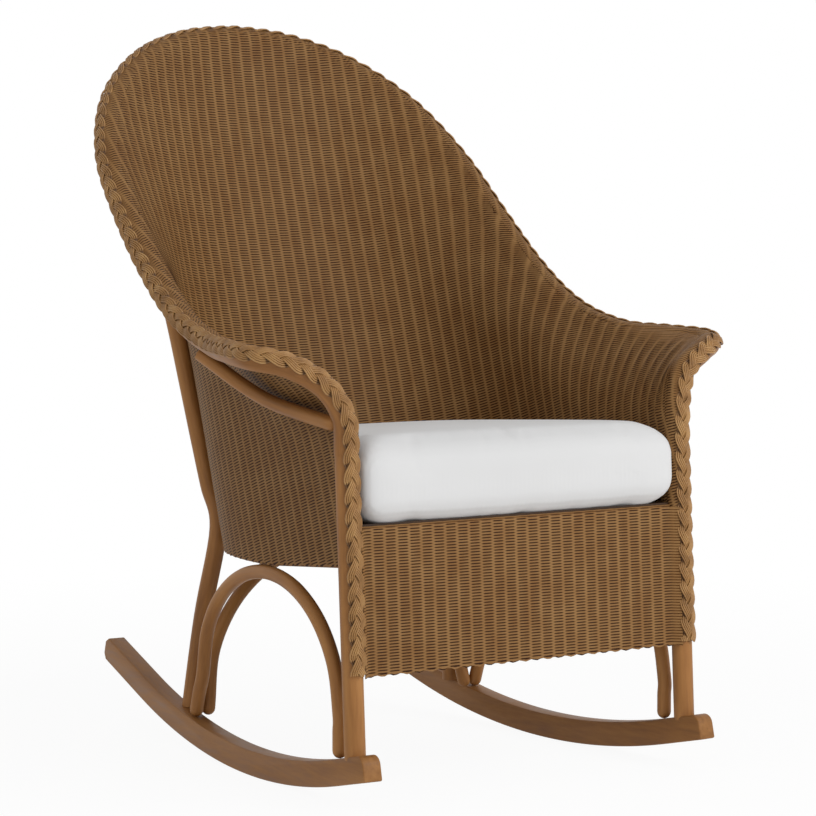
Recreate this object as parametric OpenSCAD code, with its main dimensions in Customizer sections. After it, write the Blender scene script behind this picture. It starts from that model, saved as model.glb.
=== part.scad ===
// Wicker rocking chair: a bent-wood frame on two rockers, a woven shell and a loose seat cushion.
// The chair faces -Y, +Z is up, and the origin is on the floor midway between the two points
// where the rockers touch it. All lengths are in millimetres, all angles in degrees.

/* [Rockers] */
// Distance between the front posts where they stand on the rockers
post_spacing = 560; // [500:5:620]
// Radius of the rocker's underside
rocker_radius = 1140; // [950:10:1300]
// Thickness of a rocker, across the chair
rocker_thick = 28; // [26:1:34]
// Height of a rocker's section
rocker_height = 36; // [30:1:44]
// Length of a rocker ahead of the front post
rocker_nose = 52; // [40:1:80]
// How far a rocker reaches behind the point where it touches the floor
rocker_tail = 500; // [420:5:560]
// Angle by which the rockers close in towards the rear
toe_in = 3.8; // [0:0.1:5]

/* [Posts] */
// Diameter of the front posts
post_dia = 29; // [26:1:32]
// Distance from the floor contact forward to the front posts
post_forward = 278; // [260:1:300]
// Backward lean of the front posts
post_lean = 3.3; // [2:0.1:5]
// Height of the joint where the arm bow takes over from the front post
post_top = 470; // [440:1:490]
// Diameter of the rear posts
rear_dia = 26; // [22:1:28]
// Distance from the floor contact back to the rear posts
rear_back = 236; // [225:1:260]

/* [Arches] */
// Diameter of the bent arches under the seat
arch_dia = 20; // [16:1:22]
// Distance from the floor contact forward to a side arch's front foot
arch_front = 236; // [225:1:242]
// Distance from the floor contact back to a side arch's rear foot
arch_rear = 196; // [180:1:200]
// Height where a side arch starts to bend
arch_spring = 122; // [110:1:160]
// Clearance between pieces that are fixed against each other
seat_gap = 0.3; // [0.2:0.05:0.5]

/* [Bow] */
// Diameter of the bow that forms both arms and the edge of the back
bow_dia = 30; // [26:1:32]
// Height of the bow's centre line at the arms' front corners
arm_height = 598; // [580:1:620]
// Distance from the chair's middle plane out to an arm's front corner
arm_reach = 389; // [370:1:400]
// Distance from the chair's middle plane out to the bow where it leaves the arms
back_reach = 333; // [320:1:345]
// Height of the bow's centre line at the top of the back
back_height = 1057; // [1000:1:1100]
// How far the top of the back lies behind the floor contact
back_depth = 503; // [480:1:530]
// Diameter of the lower arm rails
rail_dia = 20; // [16:1:22]

/* [Woven shell] */
// Thickness of the woven sheet
weave_thick = 5; // [4:0.5:6]
// Distance from the middle plane to the sheet at the sides
shell_half = 266; // [262:0.5:268]
// Rake of the back from the vertical
back_rake = 18.5; // [15:0.5:20]
// Height of the shell's lower edge behind
hem_height = 303; // [302:1:330]
// Rise of the shell's lower edge towards the front posts
hem_rise = 18; // [0:1:25]
// Squareness of the shell's plan, where 2 is an ellipse
plan_power = 2.5; // [2.2:0.1:3]
// How late the sheet flares out to the bow
flare_power = 6; // [4:0.5:8]
// Height of the apron's lower edge
apron_low = 176; // [150:1:220]
// Height of the apron's upper edge
apron_high = 378; // [374:1:384]
// Width of the border braid
braid_width = 27; // [22:1:30]
// Thickness of the border braid
braid_thick = 7; // [5:0.5:8]
// Height of the braid's lower end on the front posts
braid_low = 176; // [150:1:220]

/* [Seat] */
// Height of the seat deck's upper face at its front edge
deck_height = 377; // [370:1:380]
// Slope of the seat towards the back
seat_slope = 3.5; // [0:0.1:4]
// Thickness of the seat deck
deck_thick = 8; // [6:1:12]
// Thickness of the seat frame's rails
frame_thick = 20; // [16:1:24]
// Clearance between the seat frame and the woven sheet
frame_gap = 0.3; // [0.2:0.1:1]

/* [Cushion] */
// Thickness of the cushion at its edge
cushion_thick = 111; // [90:1:120]
// How much the cushion's crown rises over its edge
cushion_crown = 8; // [4:1:20]
// Clearance between the cushion and the woven sides
cushion_gap = 1.5; // [1:0.5:10]
// Clearance between the cushion and the woven back
cushion_back_gap = 14; // [10:1:40]

/* [Hidden] */

wood = "#8a6242";
fibre = "#8f6b43";
canvas = "#dedede";

tube_sides = 12;
post_r = post_dia / 2;
rear_r = rear_dia / 2;
arch_r = arch_dia / 2;
bow_r = bow_dia / 2;
rail_r = rail_dia / 2;
half_spacing = post_spacing / 2;

// Vectors and smooth steps
function unit(v) = v / norm(v);
function mix(a, b, k) = a + (b - a) * k;
function smooth(x) = let (c = min(1, max(0, x))) c * c * (3 - 2 * c);
function flipped(list) = [for (i = [len(list) - 1:-1:0]) list[i]];
function mirrored(list) = [for (p = list) [-p[0], p[1], p[2]]];

// A smooth curve through a few way points: the point at step u of len(pts) - 1
function spline_at(pts, u) =
    let (n = len(pts) - 1, i = min(n - 1, floor(u)), t = u - i,
         a = pts[max(0, i - 1)], b = pts[i], c = pts[i + 1], d = pts[min(n, i + 2)],
         mb = i > 0 ? (c - a) / 2 : c - b, mc = i < n - 1 ? (d - b) / 2 : c - b,
         t2 = t * t, t3 = t2 * t)
    (2 * t3 - 3 * t2 + 1) * b + (t3 - 2 * t2 + t) * mb + (3 * t2 - 2 * t3) * c + (t3 - t2) * mc;
function spline(pts, steps) =
    [for (k = [0:(len(pts) - 1) * steps]) spline_at(pts, k / steps)];

// Directions along a path, and cross directions carried along it without twist
function tangents(path) =
    [for (i = [0:len(path) - 1])
        unit(path[min(len(path) - 1, i + 1)] - path[max(0, i - 1)])];
function square_to(v, t) = unit(v - (v * t) * t);
function carried(tans, start, i = 0, prev = undef) =
    i >= len(tans) ? [] :
    let (now = square_to(i == 0 ? start : prev, tans[i]))
    concat([now], carried(tans, start, i + 1, now));

// Faces of a closed tube made of rings, and the tube itself
function ring_faces(rings, sides) =
    concat(
        [for (i = [0:rings - 2]) for (k = [0:sides - 1])
            let (a = i * sides + k, b = i * sides + (k + 1) % sides)
            each [[a, b, b + sides], [a, b + sides, a + sides]]],
        [[for (k = [sides - 1:-1:0]) k]],
        [[for (k = [0:sides - 1]) (rings - 1) * sides + k]]);
module swept(path, section, across, sizes = undef) {
    tans = tangents(path);
    sides = len(section);
    points = [for (i = [0:len(path) - 1]) for (q = section)
        path[i] + (q[0] * across[i] + q[1] * cross(tans[i], across[i])) * (is_undef(sizes) ? 1 : sizes[i])];
    polyhedron(points, ring_faces(len(path), sides), convexity = 6);
}
function round_section(r) =
    [for (k = [0:tube_sides - 1]) r * [cos(360 * k / tube_sides), sin(360 * k / tube_sides)]];
module tube(path, r, start = [1, 0, 0])
    swept(path, round_section(r), carried(tangents(path), start));
// Tube with a domed end at the start and at the finish
dome_rows = 3;
module domed_tube(path, r, start) {
    n = len(path);
    tans = tangents(path);
    across = carried(tans, start);
    dome = [for (k = [1:dome_rows]) 90 * k / (dome_rows + 0.5)];
    low = [for (k = [dome_rows - 1:-1:0]) path[0] - tans[0] * r * sin(dome[k])];
    high = [for (a = dome) path[n - 1] + tans[n - 1] * r * sin(a)];
    sizes = concat([for (k = [dome_rows - 1:-1:0]) cos(dome[k])], [for (p = path) 1],
        [for (a = dome) cos(a)]);
    swept(concat(low, path, high), round_section(r),
        concat([for (a = dome) across[0]], across, [for (a = dome) across[n - 1]]), sizes);
}

// Plane of a rocker: its own length runs along Y, and its contact with the floor is at Y = 0
rocker_top_radius = rocker_radius - rocker_height;
function rocker_x(y) = -half_spacing + (y + post_forward) * tan(toe_in);
function rocker_under(y) = rocker_radius - sqrt(rocker_radius * rocker_radius - y * y);
function rocker_over(y) = rocker_radius - sqrt(rocker_top_radius * rocker_top_radius - y * y);
module in_rocker_plane() {
    translate([-half_spacing, -post_forward, 0]) rotate([0, 0, -toe_in])
        translate([0, post_forward, 0]) children();
}

// Bow: way points from the joint on the left post, out round the arm's front corner, back along
// the arm and up to the top of the back. Rows give the distance out, back and up.
post_rise = tan(post_lean);
foot_line = 72;
function post_y(z) = -post_forward + (z - foot_line) * post_rise;
function arm_z(share) = post_top + (arm_height - post_top) * share;
bow_points = [
    [-half_spacing, post_y(post_top), post_top],
    [-(half_spacing + 3), post_y(arm_z(0.39)) - 1, arm_z(0.39)],
    [-(half_spacing + 25), -239, arm_z(0.711)],
    [-(half_spacing + 72), -226, arm_z(0.922)],
    [-arm_reach, -192, arm_height],
    [-(arm_reach - 12), -118, arm_height + 5],
    [-(back_reach + 19), -30, arm_height + 11],
    [-(back_reach + 8), 68, arm_height + 40],
    [-back_reach, 158, arm_height + 98],
    [-(back_reach - 8), 252, back_height - 277],
    [-(back_reach - 24), 338, back_height - 188],
    [-(back_reach - 72), back_depth - 92, back_height - 104],
    [-(back_reach - 152), back_depth - 38, back_height - 42],
    [-(back_reach - 243), back_depth - 9, back_height - 10],
    [0, back_depth, back_height]];
bow_steps = 3;
bow_half = spline(bow_points, bow_steps);
bow_path = concat(bow_half, [for (i = [len(bow_half) - 2:-1:0]) mirrored(bow_half)[i]]);
bow_last = len(bow_points) - 1;

// Shell: its plan at the lower edge, from the front post round to the middle of the back
rake = tan(back_rake);
back_line = back_depth - (back_height - hem_height) * rake;
plan_depth = 285;
plan_start = back_line - plan_depth;
sheet_off = [half_spacing - shell_half,
    sqrt(pow(post_r + weave_thick / 2 + seat_gap, 2) - pow(half_spacing - shell_half, 2)), 0];
front_edge = post_y(hem_height) + sheet_off[1];
side_length = plan_start - front_edge;
corner_length = 440;
function plan_point(t) =
    let (d = t * (side_length + corner_length))
    d < side_length ?
        [-shell_half, front_edge + d] :
        let (a = 90 * (d - side_length) / corner_length, e = 2 / plan_power)
        [-shell_half * pow(max(0, cos(a)), e), plan_start + plan_depth * pow(sin(a), e)];
hem_reach = 0.33;
function hem_z(t) = hem_height + hem_rise * max(0, 1 - t / hem_reach);

// The bow's point that a station of the shell ends at, and the front edge that follows the post
// and the bow's first bend
tip_step = 4.15;
sheet_start = 0.5;
edge_gap = bow_r + weave_thick / 4 + seat_gap;
function bow_at(u) = spline_at(bow_points, u);
function bow_run(u) = unit(bow_at(min(bow_last, u + 0.05)) - bow_at(max(0, u - 0.05)));
function bow_step(t) = mix(tip_step, bow_last, pow(t, 0.93));
// The sheet's front edge: inside the post and the bow's foot, then behind and under the bend
function front_core(s) =
    let (z = mix(hem_z(0), post_top, s / sheet_start), u = max(0, s - sheet_start) / (1 - sheet_start) * tip_step,
         turn = smooth((u - 1) / 2.4),
         away = square_to(mix(sheet_off, [0.35, 1, -0.75] * norm(sheet_off), turn), bow_run(u)),
         clear = bow_r + weave_thick / 2 + 3 * seat_gap)
    s < sheet_start ? [-half_spacing, post_y(z), z] + sheet_off :
    bow_at(u) + away * clear;
flare_start = 0.16;
function shell_core(t, s) =
    let (p = plan_point(t), z0 = hem_z(t), u = bow_step(t), top = bow_at(u),
         lean = mix(post_rise, rake, smooth(t / flare_start)),
         aim = [(top[0] - p[0]) * flare_power, (top[1] - p[1] - lean * (top[2] - z0)) * flare_power
             + lean * (top[2] - z0), top[2] - z0],
         rim = top - square_to(aim, bow_run(u)) * edge_gap, rise = rim[2] - z0)
    [p[0], p[1], z0] + [0, lean * rise, rise] * s
        + [rim[0] - p[0], rim[1] - p[1] - lean * rise, 0] * pow(s, flare_power);
function shell_mid(t, s) = mix(front_core(s), shell_core(t, s), smooth(t / flare_start));
shell_cols = 30;
shell_rows = 14;

// A closed sheet around a grid of middle points, half its thickness to each side
function grid_normal(g, i, j) =
    let (n = len(g) - 1, m = len(g[0]) - 1)
    unit(cross(g[min(n, i + 1)][j] - g[max(0, i - 1)][j], g[i][min(m, j + 1)] - g[i][max(0, j - 1)]));
module sheet(g, thick) {
    n = len(g);
    m = len(g[0]);
    faces_of = function(flip, base) [for (i = [0:n - 2]) for (j = [0:m - 2])
        let (a = base + i * m + j, b = a + m)
        each flip ? [[a, a + 1, b + 1], [a, b + 1, b]] : [[a, b + 1, a + 1], [a, b, b + 1]]];
    rim = concat(
        [for (i = [0:n - 1]) i * m], [for (j = [1:m - 1]) (n - 1) * m + j],
        [for (i = [n - 2:-1:0]) i * m + m - 1], [for (j = [m - 2:-1:1]) j]);
    count = len(rim);
    half = n * m;
    points = [for (side = [0.5, -0.5]) for (i = [0:n - 1]) for (j = [0:m - 1])
        g[i][j] + grid_normal(g, i, j) * thick * side];
    edge = [for (k = [0:count - 1])
        let (a = rim[k], b = rim[(k + 1) % count])
        each [[a, b, b + half], [a, b + half, a + half]]];
    polyhedron(points, concat(faces_of(true, 0), faces_of(false, half), edge), convexity = 8);
}

// Left half of the chair, turned into the right half where asked
module on_side(right) {
    if (right) mirror([1, 0, 0]) children();
    else children();
}

// Rocker: an arc of constant section with a straight nose and tail, a hair slimmer than the arc
straight_front = 250;
straight_rear = 360;
end_overlap = 2;
end_step = 0.1;
nose_radius = 14;
tail_cut = 8;
tenon_dia = 16;
tenon_depth = 22;
tenon_clear = 0.2;
nose_length = post_forward + rocker_nose - straight_front;
tail_length = rocker_tail - straight_rear;
function arc_angle(y) = asin(y / rocker_radius);
module at_arc(y) {
    translate([0, 0, rocker_radius]) rotate([arc_angle(y), 0, 0])
        translate([0, 0, -rocker_radius + end_step]) children();
}
module end_bar(from, to) {
    translate([-rocker_thick / 2 + end_step, from, 0])
        cube([rocker_thick - 2 * end_step, to - from, rocker_height - 2 * end_step]);
}
module rocker_arc() {
    turn = arc_angle(straight_rear) + arc_angle(straight_front);
    translate([-rocker_thick / 2, 0, rocker_radius]) rotate([0, 90, 0])
        rotate([0, 0, -arc_angle(straight_front)]) rotate_extrude(angle = turn, $fn = 720)
            translate([rocker_top_radius, 0]) square([rocker_height, rocker_thick]);
}
module nose_corner() {
    corner = rocker_height - 2 * end_step - nose_radius;
    translate([-rocker_thick, -nose_length, corner]) difference() {
        translate([0, -1, 0]) cube([2 * rocker_thick, nose_radius + 1, nose_radius + 1]);
        translate([-1, nose_radius, 0]) rotate([0, 90, 0])
            cylinder(r = nose_radius, h = 2 * rocker_thick + 2, $fn = 64);
    }
}
module tail_corners() {
    for (z = [0, rocker_height - 2 * end_step])
        translate([0, tail_length, z]) rotate([45, 0, 0])
            cube([2 * rocker_thick, tail_cut * sqrt(2), tail_cut * sqrt(2)], center = true);
}
module rocker(right) {
    color(wood) on_side(right) difference() {
        in_rocker_plane() {
            rocker_arc();
            at_arc(-straight_front) difference() {
                end_bar(-nose_length, end_overlap);
                nose_corner();
            }
            at_arc(straight_rear) difference() {
                end_bar(-end_overlap, tail_length);
                tail_corners();
            }
        }
        post_axis() translate([0, 0, -tenon_depth - tenon_clear])
            cylinder(d = tenon_dia + 2 * tenon_clear, h = tenon_depth + 20, $fn = 48);
    }
}
module above_rocker(reach = 60) {
    intersection() {
        children();
        in_rocker_plane() translate([-reach, 0, rocker_radius]) rotate([0, 90, 0])
            cylinder(r = rocker_top_radius - seat_gap, h = 2 * reach, $fn = 720);
    }
}

// Front post: a straight leg with a tenon in the rocker and a spigot in the bow
foot_z = rocker_over(post_forward);
module post_axis() {
    translate([-half_spacing, -post_forward, foot_z]) rotate([-post_lean, 0, 0]) children();
}
spigot_dia = 14;
spigot_length = 24;
post_length = (post_top - foot_z) / cos(post_lean);
module front_post(right) {
    color(wood) on_side(right) {
        above_rocker() post_axis() translate([0, 0, -20])
            cylinder(d = post_dia, h = post_length + 20, $fn = 64);
        post_axis() {
            translate([0, 0, -tenon_depth]) cylinder(d = tenon_dia, h = tenon_depth + 16, $fn = 48);
            translate([0, 0, post_length - 4])
                cylinder(d = spigot_dia, h = spigot_length + 4, $fn = 48);
        }
    }
}

// Rear post: splayed foot on the rocker, a knee at the shell's lower edge, then up along the
// outside of the shell's back corner to the bow
foot_in = 10;
knee_low = 0.04;
knee_t = 0.707;
knee_turn = 0.16;
post_stand = 3.9;
function outside(t, s) =
    let (u = shell_mid(t + 0.01, s) - shell_mid(t - 0.01, s),
         v = shell_mid(t, s + 0.01) - shell_mid(t, s - 0.01))
    unit(cross(v, u));
function along_shell(s) =
    let (t = knee_t - knee_turn * s)
    shell_mid(t, s) + outside(t, s) * (rear_r + weave_thick / 2 + post_stand);
module rear_post(right) {
    knee = along_shell(knee_low);
    foot = [rocker_x(rear_back) + foot_in, rear_back, rocker_over(rear_back)];
    way = concat([foot + [0, 4, -20], mix(foot, knee, 0.5) + [0, 5, 0], knee],
        [for (s = [0.14:0.13:0.93]) along_shell(s)]);
    color(wood) on_side(right) above_rocker() tube(spline(way, 3), rear_r);
}

// Side arch: two legs and an oval crown, with domed feet, in the plane of the rocker. An arch's
// way points give the distance along it and the height.
crown_z = hem_height - 3 - seat_gap - arch_r;
function arch_foot(y) =
    rocker_radius - sqrt(pow(rocker_top_radius - arch_r - seat_gap, 2) - y * y);
function crown(mid, half, low, high) =
    [for (a = [0:22.5:180]) [mid - half * cos(a), mix(low, high, sin(a))]];
rear_splay = 22;
module side_arch(right) {
    front = arch_foot(arch_front);
    rear = arch_foot(arch_rear);
    spring = arch_rear - rear_splay;
    way = concat([[-arch_front, front], [-arch_front, mix(front, arch_spring, 0.5)]],
        crown((spring - arch_front) / 2, (spring + arch_front) / 2, arch_spring, crown_z),
        [[arch_rear - rear_splay * 0.45, mix(rear, arch_spring, 0.5)], [arch_rear, rear]]);
    path = [for (p = spline(way, 2)) [0, p[0], p[1]]];
    color(wood) on_side(right) in_rocker_plane() domed_tube(path, arch_r, [1, 0, 0]);
}

// Back arch: stands beside the rear feet of the side arches and leans back under the seat bow
back_arch_half = -rocker_x(arch_rear) - 2 * arch_r - seat_gap;
back_arch_in = 20;
back_arch_top = back_line - weave_thick / 2 - frame_gap - back_arch_in;
module back_arch() {
    foot = arch_foot(arch_rear);
    lean = atan((back_arch_top - arch_rear) / (crown_z - foot));
    rise = (crown_z - foot) / cos(lean);
    path = [for (p = spline(crown(0, back_arch_half, 0, rise), 2)) [p[0], 0, p[1]]];
    color(wood) translate([0, arch_rear, foot]) rotate([-lean, 0, 0])
        domed_tube(path, arch_r, [0, 1, 0]);
}

// Bow of both arms and the back, cut square to the posts where it stands on them
joint_overlap = 8;
module arm_back_bow() {
    foot = bow_path[0] - bow_run(0) * joint_overlap;
    color(wood) difference() {
        tube(concat([foot], bow_path, mirrored([foot])), bow_r);
        for (side = [0, 1]) mirror([side, 0, 0]) post_axis() {
            translate([0, 0, post_length + seat_gap - 2 * joint_overlap])
                cylinder(r = 2 * bow_r, h = 2 * joint_overlap);
            translate([0, 0, post_length])
                cylinder(d = spigot_dia + 2 * tenon_clear, h = spigot_length + 1, $fn = 48);
        }
    }
}

// Lower arm rail: from the bow's front bend back under the arm
rail_start = 0.9;
rail_foot = [-8, bow_r + 2.2, -4];
module arm_rail(right) {
    way = [bow_at(rail_start) + rail_foot, [-(half_spacing + 19), -118, arm_z(0.461)],
        [-(half_spacing + 31), -50, arm_z(0.633)], [-(back_reach + 8), 20, arm_z(0.969)]];
    color(wood) on_side(right) tube(spline(way, 4), rail_r);
}

// Seat frame: a front rail between the posts and a bent bow inside the shell
frame_high = deck_height - deck_thick - seat_gap;
apron_forward = 4;
rail_front_y = post_y(deck_height) - apron_forward + weave_thick / 2 + seat_gap;
rail_half = shell_half - weave_thick / 2 - frame_gap;
module on_deck() {
    translate([0, rail_front_y, deck_height]) rotate([-seat_slope, 0, 0]) children();
}
function frame_top(y) = frame_high - (y - rail_front_y) * tan(seat_slope);
module seat_rail_front() {
    back = rail_front_y + frame_thick;
    low = hem_height + hem_rise;
    color(wood) translate([-rail_half, 0, 0]) rotate([90, 0, 90]) linear_extrude(2 * rail_half)
        polygon([[rail_front_y, low], [back, low], [back, frame_top(back)],
            [rail_front_y, frame_top(rail_front_y)]]);
}
function plan_inset(t, inset) =
    let (p = plan_point(t), d = plan_point(min(1, t + 0.01)) - plan_point(max(0, t - 0.01)),
         n = unit([d[1], -d[0]]))
    t >= 1 ? p - [0, inset] : p + n * inset;
bow_start = (rail_front_y + frame_thick + seat_gap - front_edge) / (side_length + corner_length);
hem_cover = 3;
module seat_bow() {
    outer = weave_thick / 2 + frame_gap;
    half = [for (k = [0:26]) let (t = mix(bow_start, 1, k / 26), a = plan_inset(t, outer + frame_thick),
            b = plan_inset(t, outer), low = hem_z(t) - hem_cover)
        [[a[0], a[1], low], [b[0], b[1], low], [b[0], b[1], frame_top(b[1])],
            [a[0], a[1], frame_top(a[1])]]];
    other = [for (i = [len(half) - 2:-1:0]) mirrored(half[i])];
    color(wood) polyhedron([for (r = concat(half, other)) each r],
        ring_faces(2 * len(half) - 1, 4), convexity = 6);
}
cross_rail_y = 210;
cross_rail_wide = 45;
module seat_cross_rail() {
    half = rail_half - frame_thick - 2 * seat_gap;
    color(wood) on_deck() translate([-half, cross_rail_y, -deck_thick - seat_gap - frame_thick])
        cube([2 * half, cross_rail_wide, frame_thick]);
}
module seat_deck() {
    inset = weave_thick / 2 + frame_gap;
    half = [for (k = [0:24]) plan_inset(k / 24, inset) - [0, rail_front_y]];
    outline = concat([[half[0][0], 0]], half, flipped([for (p = half) [-p[0], p[1]]]),
        [[-half[0][0], 0]]);
    color("#b49a72") on_deck() translate([0, 0, -deck_thick])
        linear_extrude(deck_thick) polygon(outline);
}

// Woven shell: one sheet from the lower edge up to the bow
module woven_shell() {
    half = [for (i = [0:shell_cols]) [for (j = [0:shell_rows]) shell_mid(i / shell_cols, j / shell_rows)]];
    other = [for (i = [shell_cols - 1:-1:0]) mirrored(half[i])];
    color(fibre) sheet(concat(half, other), weave_thick);
}

// Woven apron between the front posts
module front_apron() {
    half = half_spacing - post_r - seat_gap;
    color(fibre) sheet([for (x = [-half, half]) [for (z = [apron_low, apron_high])
        [x, post_y(z) - apron_forward, z]]], weave_thick);
}

// Border braid: a flat plait along the left post, the whole bow and the right post
braid_facing = [[0, -1, 0], [0, -1, 0.1], [-0.1, -0.95, 0.35], [-0.25, -0.8, 0.6],
    [-0.75, -0.45, 0.6], [-0.85, 0, 0.55], [-0.85, 0, 0.5], [-0.85, 0, 0.5], [-0.9, 0, 0.4],
    [-0.95, 0, 0.35], [-0.9, 0.1, 0.4], [-0.7, 0.2, 0.6], [-0.45, 0.3, 0.85], [-0.2, 0.33, 0.95],
    [0, 0.35, 1]];
module border_braid() {
    legs = 6;
    low = [for (k = [0:legs - 1]) let (z = mix(braid_low, post_top, k / legs))
        [-half_spacing, post_y(z), z]];
    facing = concat([for (k = [1:legs]) braid_facing[0]], spline(braid_facing, bow_steps));
    core = concat(low, bow_half);
    tans = tangents(core);
    out = [for (i = [0:len(core) - 1]) square_to(facing[i], tans[i])];
    lift = bow_r + seat_gap + braid_thick / 2;
    half = [for (i = [0:len(core) - 1]) core[i] + out[i] * lift];
    path = concat(half, [for (i = [len(half) - 2:-1:0]) mirrored(half)[i]]);
    across = concat(out, [for (i = [len(out) - 2:-1:0]) mirrored(out)[i]]);
    w = braid_width / 2;
    t = braid_thick / 2;
    section = [[-t, -0.7 * w], [-0.3 * t, -w], [0.3 * t, -w], [t, -0.7 * w],
        [t, 0.7 * w], [0.3 * t, w], [-0.3 * t, w], [-t, 0.7 * w]];
    color(fibre) swept(path, section, across);
}

// Loose cushion: soft rounded edges and a low crown. Each ring is the outline drawn in by some
// way, at some height: up the sides first, then over the crown.
cushion_over = 14;
cushion_half = shell_half - weave_thick / 2 - cushion_gap;
deck_length = back_line - weave_thick / 2 - frame_gap - rail_front_y;
cushion_rear = deck_length + (deck_height - deck_length * tan(seat_slope) - hem_height) * rake
    - cushion_back_gap;
cushion_wide_at = 20;
cushion_mid = (cushion_rear - cushion_over) / 2 - cushion_wide_at;
cushion_around = 56;
edge_top = 30;
edge_under = 24;
back_power = 2.6;
front_power = 16;
function cushion_outline(a) =
    let (back = sin(a) > 0, p = back ? back_power : front_power,
         reach = back ? cushion_rear - cushion_mid : cushion_mid + cushion_over)
    [cushion_half * sign(cos(a)) * pow(abs(cos(a)), 2 / p),
        reach * sign(sin(a)) * pow(abs(sin(a)), 2 / p)];
module seat_cushion() {
    profile = concat(
        [for (a = [0:22.5:90]) [edge_under * (1 - sin(a)), edge_under * (1 - cos(a))]],
        [[0, (edge_under + cushion_thick - edge_top) / 2]],
        [for (a = [0:15:75]) [edge_top * (1 - cos(a)), cushion_thick - edge_top * (1 - sin(a))]],
        [for (f = [0.84, 0.7, 0.5, 0.3, 0.1])
            [cushion_half * (1 - f), cushion_thick + cushion_crown * (1 - f * f)]]);
    rings = [for (q = profile) for (k = [0:cushion_around - 1])
        let (c = cushion_outline(360 * (k + 0.5) / cushion_around) * (1 - q[0] / cushion_half))
        [c[0], cushion_mid + c[1], q[1] + seat_gap]];
    color(canvas) on_deck() polyhedron(rings, ring_faces(len(profile), cushion_around), convexity = 4);
}

rocker(false);  // rocker_left
rocker(true);  // rocker_right
front_post(false);  // front_post_left
front_post(true);  // front_post_right
rear_post(false);  // rear_post_left
rear_post(true);  // rear_post_right
side_arch(false);  // side_arch_left
side_arch(true);  // side_arch_right
back_arch();
arm_back_bow();
arm_rail(false);  // arm_rail_left
arm_rail(true);  // arm_rail_right
seat_rail_front();
seat_bow();
seat_cross_rail();
seat_deck();
woven_shell();
front_apron();
border_braid();
seat_cushion();
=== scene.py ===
import math

import bmesh
import bpy
import numpy as np
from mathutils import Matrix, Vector


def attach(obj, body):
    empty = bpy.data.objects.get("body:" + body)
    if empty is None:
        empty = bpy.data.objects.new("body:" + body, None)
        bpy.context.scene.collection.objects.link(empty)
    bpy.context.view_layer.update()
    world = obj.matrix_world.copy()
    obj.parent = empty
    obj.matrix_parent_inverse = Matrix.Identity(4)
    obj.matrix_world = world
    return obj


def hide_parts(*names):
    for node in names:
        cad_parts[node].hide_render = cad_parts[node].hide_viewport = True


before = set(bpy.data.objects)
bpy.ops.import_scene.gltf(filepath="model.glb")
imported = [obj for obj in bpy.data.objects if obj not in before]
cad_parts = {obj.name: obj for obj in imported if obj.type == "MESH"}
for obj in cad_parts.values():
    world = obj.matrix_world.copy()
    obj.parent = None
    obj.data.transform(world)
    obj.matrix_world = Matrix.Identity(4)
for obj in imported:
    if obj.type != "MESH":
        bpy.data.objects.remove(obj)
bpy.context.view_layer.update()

# Camera. The photograph was taken with a long lens, from low down in front of the arm on its left.
# It is 816 pixels wide and high, and the lens is given by its focal length in pixels. Left and
# right are named as the photograph shows them.
picture_px = 816
focal_px = 3027
sensor_mm = 36
stand_off = 4.361
looks_at = Vector((-0.008, 0.0, 0.507))
swing, climb = math.radians(-34), math.radians(4.05)
to_camera = Vector((math.sin(swing) * math.cos(climb), -math.cos(swing) * math.cos(climb),
                    math.sin(climb)))
camera = bpy.data.objects.new("studio_camera", bpy.data.cameras.new("studio_camera"))
camera.data.sensor_width = sensor_mm
camera.data.lens = focal_px / picture_px * sensor_mm
camera.data.clip_end = 60
camera.location = looks_at + to_camera * stand_off
camera.rotation_mode = "QUATERNION"
camera.rotation_quaternion = (-to_camera).to_track_quat("-Z", "Y")
bpy.context.scene.collection.objects.link(camera)
bpy.context.scene.camera = camera
bpy.context.scene.view_settings.view_transform = "Standard"


# Rockers. Two runners of beech, 28 mm thick, steam-bent to a long curve, with their corners
# rubbed round, stained brown and varnished. They close in 3.8 degrees towards the rear.
def linear(code):
    parts = [int(code[i:i + 2], 16) / 255 for i in (1, 3, 5)]
    return [c / 12.92 if c <= 0.04045 else ((c + 0.055) / 1.055) ** 2.4 for c in parts] + [1.0]


def set_inputs(tree, node, inputs):
    for place, value in dict(inputs).items():
        if isinstance(value, bpy.types.NodeSocket):
            tree.links.new(value, node.inputs[place])
        else:
            node.inputs[place].default_value = value


def add_node(tree, kind, inputs=(), **settings):
    node = tree.nodes.new(kind)
    for name, value in settings.items():
        setattr(node, name, value)
    set_inputs(tree, node, inputs)
    return node


def shade_between(tree, strength, stops):
    ramp = add_node(tree, "ShaderNodeValToRGB", {"Fac": strength})
    while len(ramp.color_ramp.elements) < len(stops):
        ramp.color_ramp.elements.new(0.5)
    for element, (place, code) in zip(ramp.color_ramp.elements, stops):
        element.position = place
        element.color = linear(code)
    return ramp.outputs["Color"]


def bare_material(name):
    material = bpy.data.materials.new(name)
    material.use_nodes = True
    return material, material.node_tree, material.node_tree.nodes["Principled BSDF"]


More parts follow.
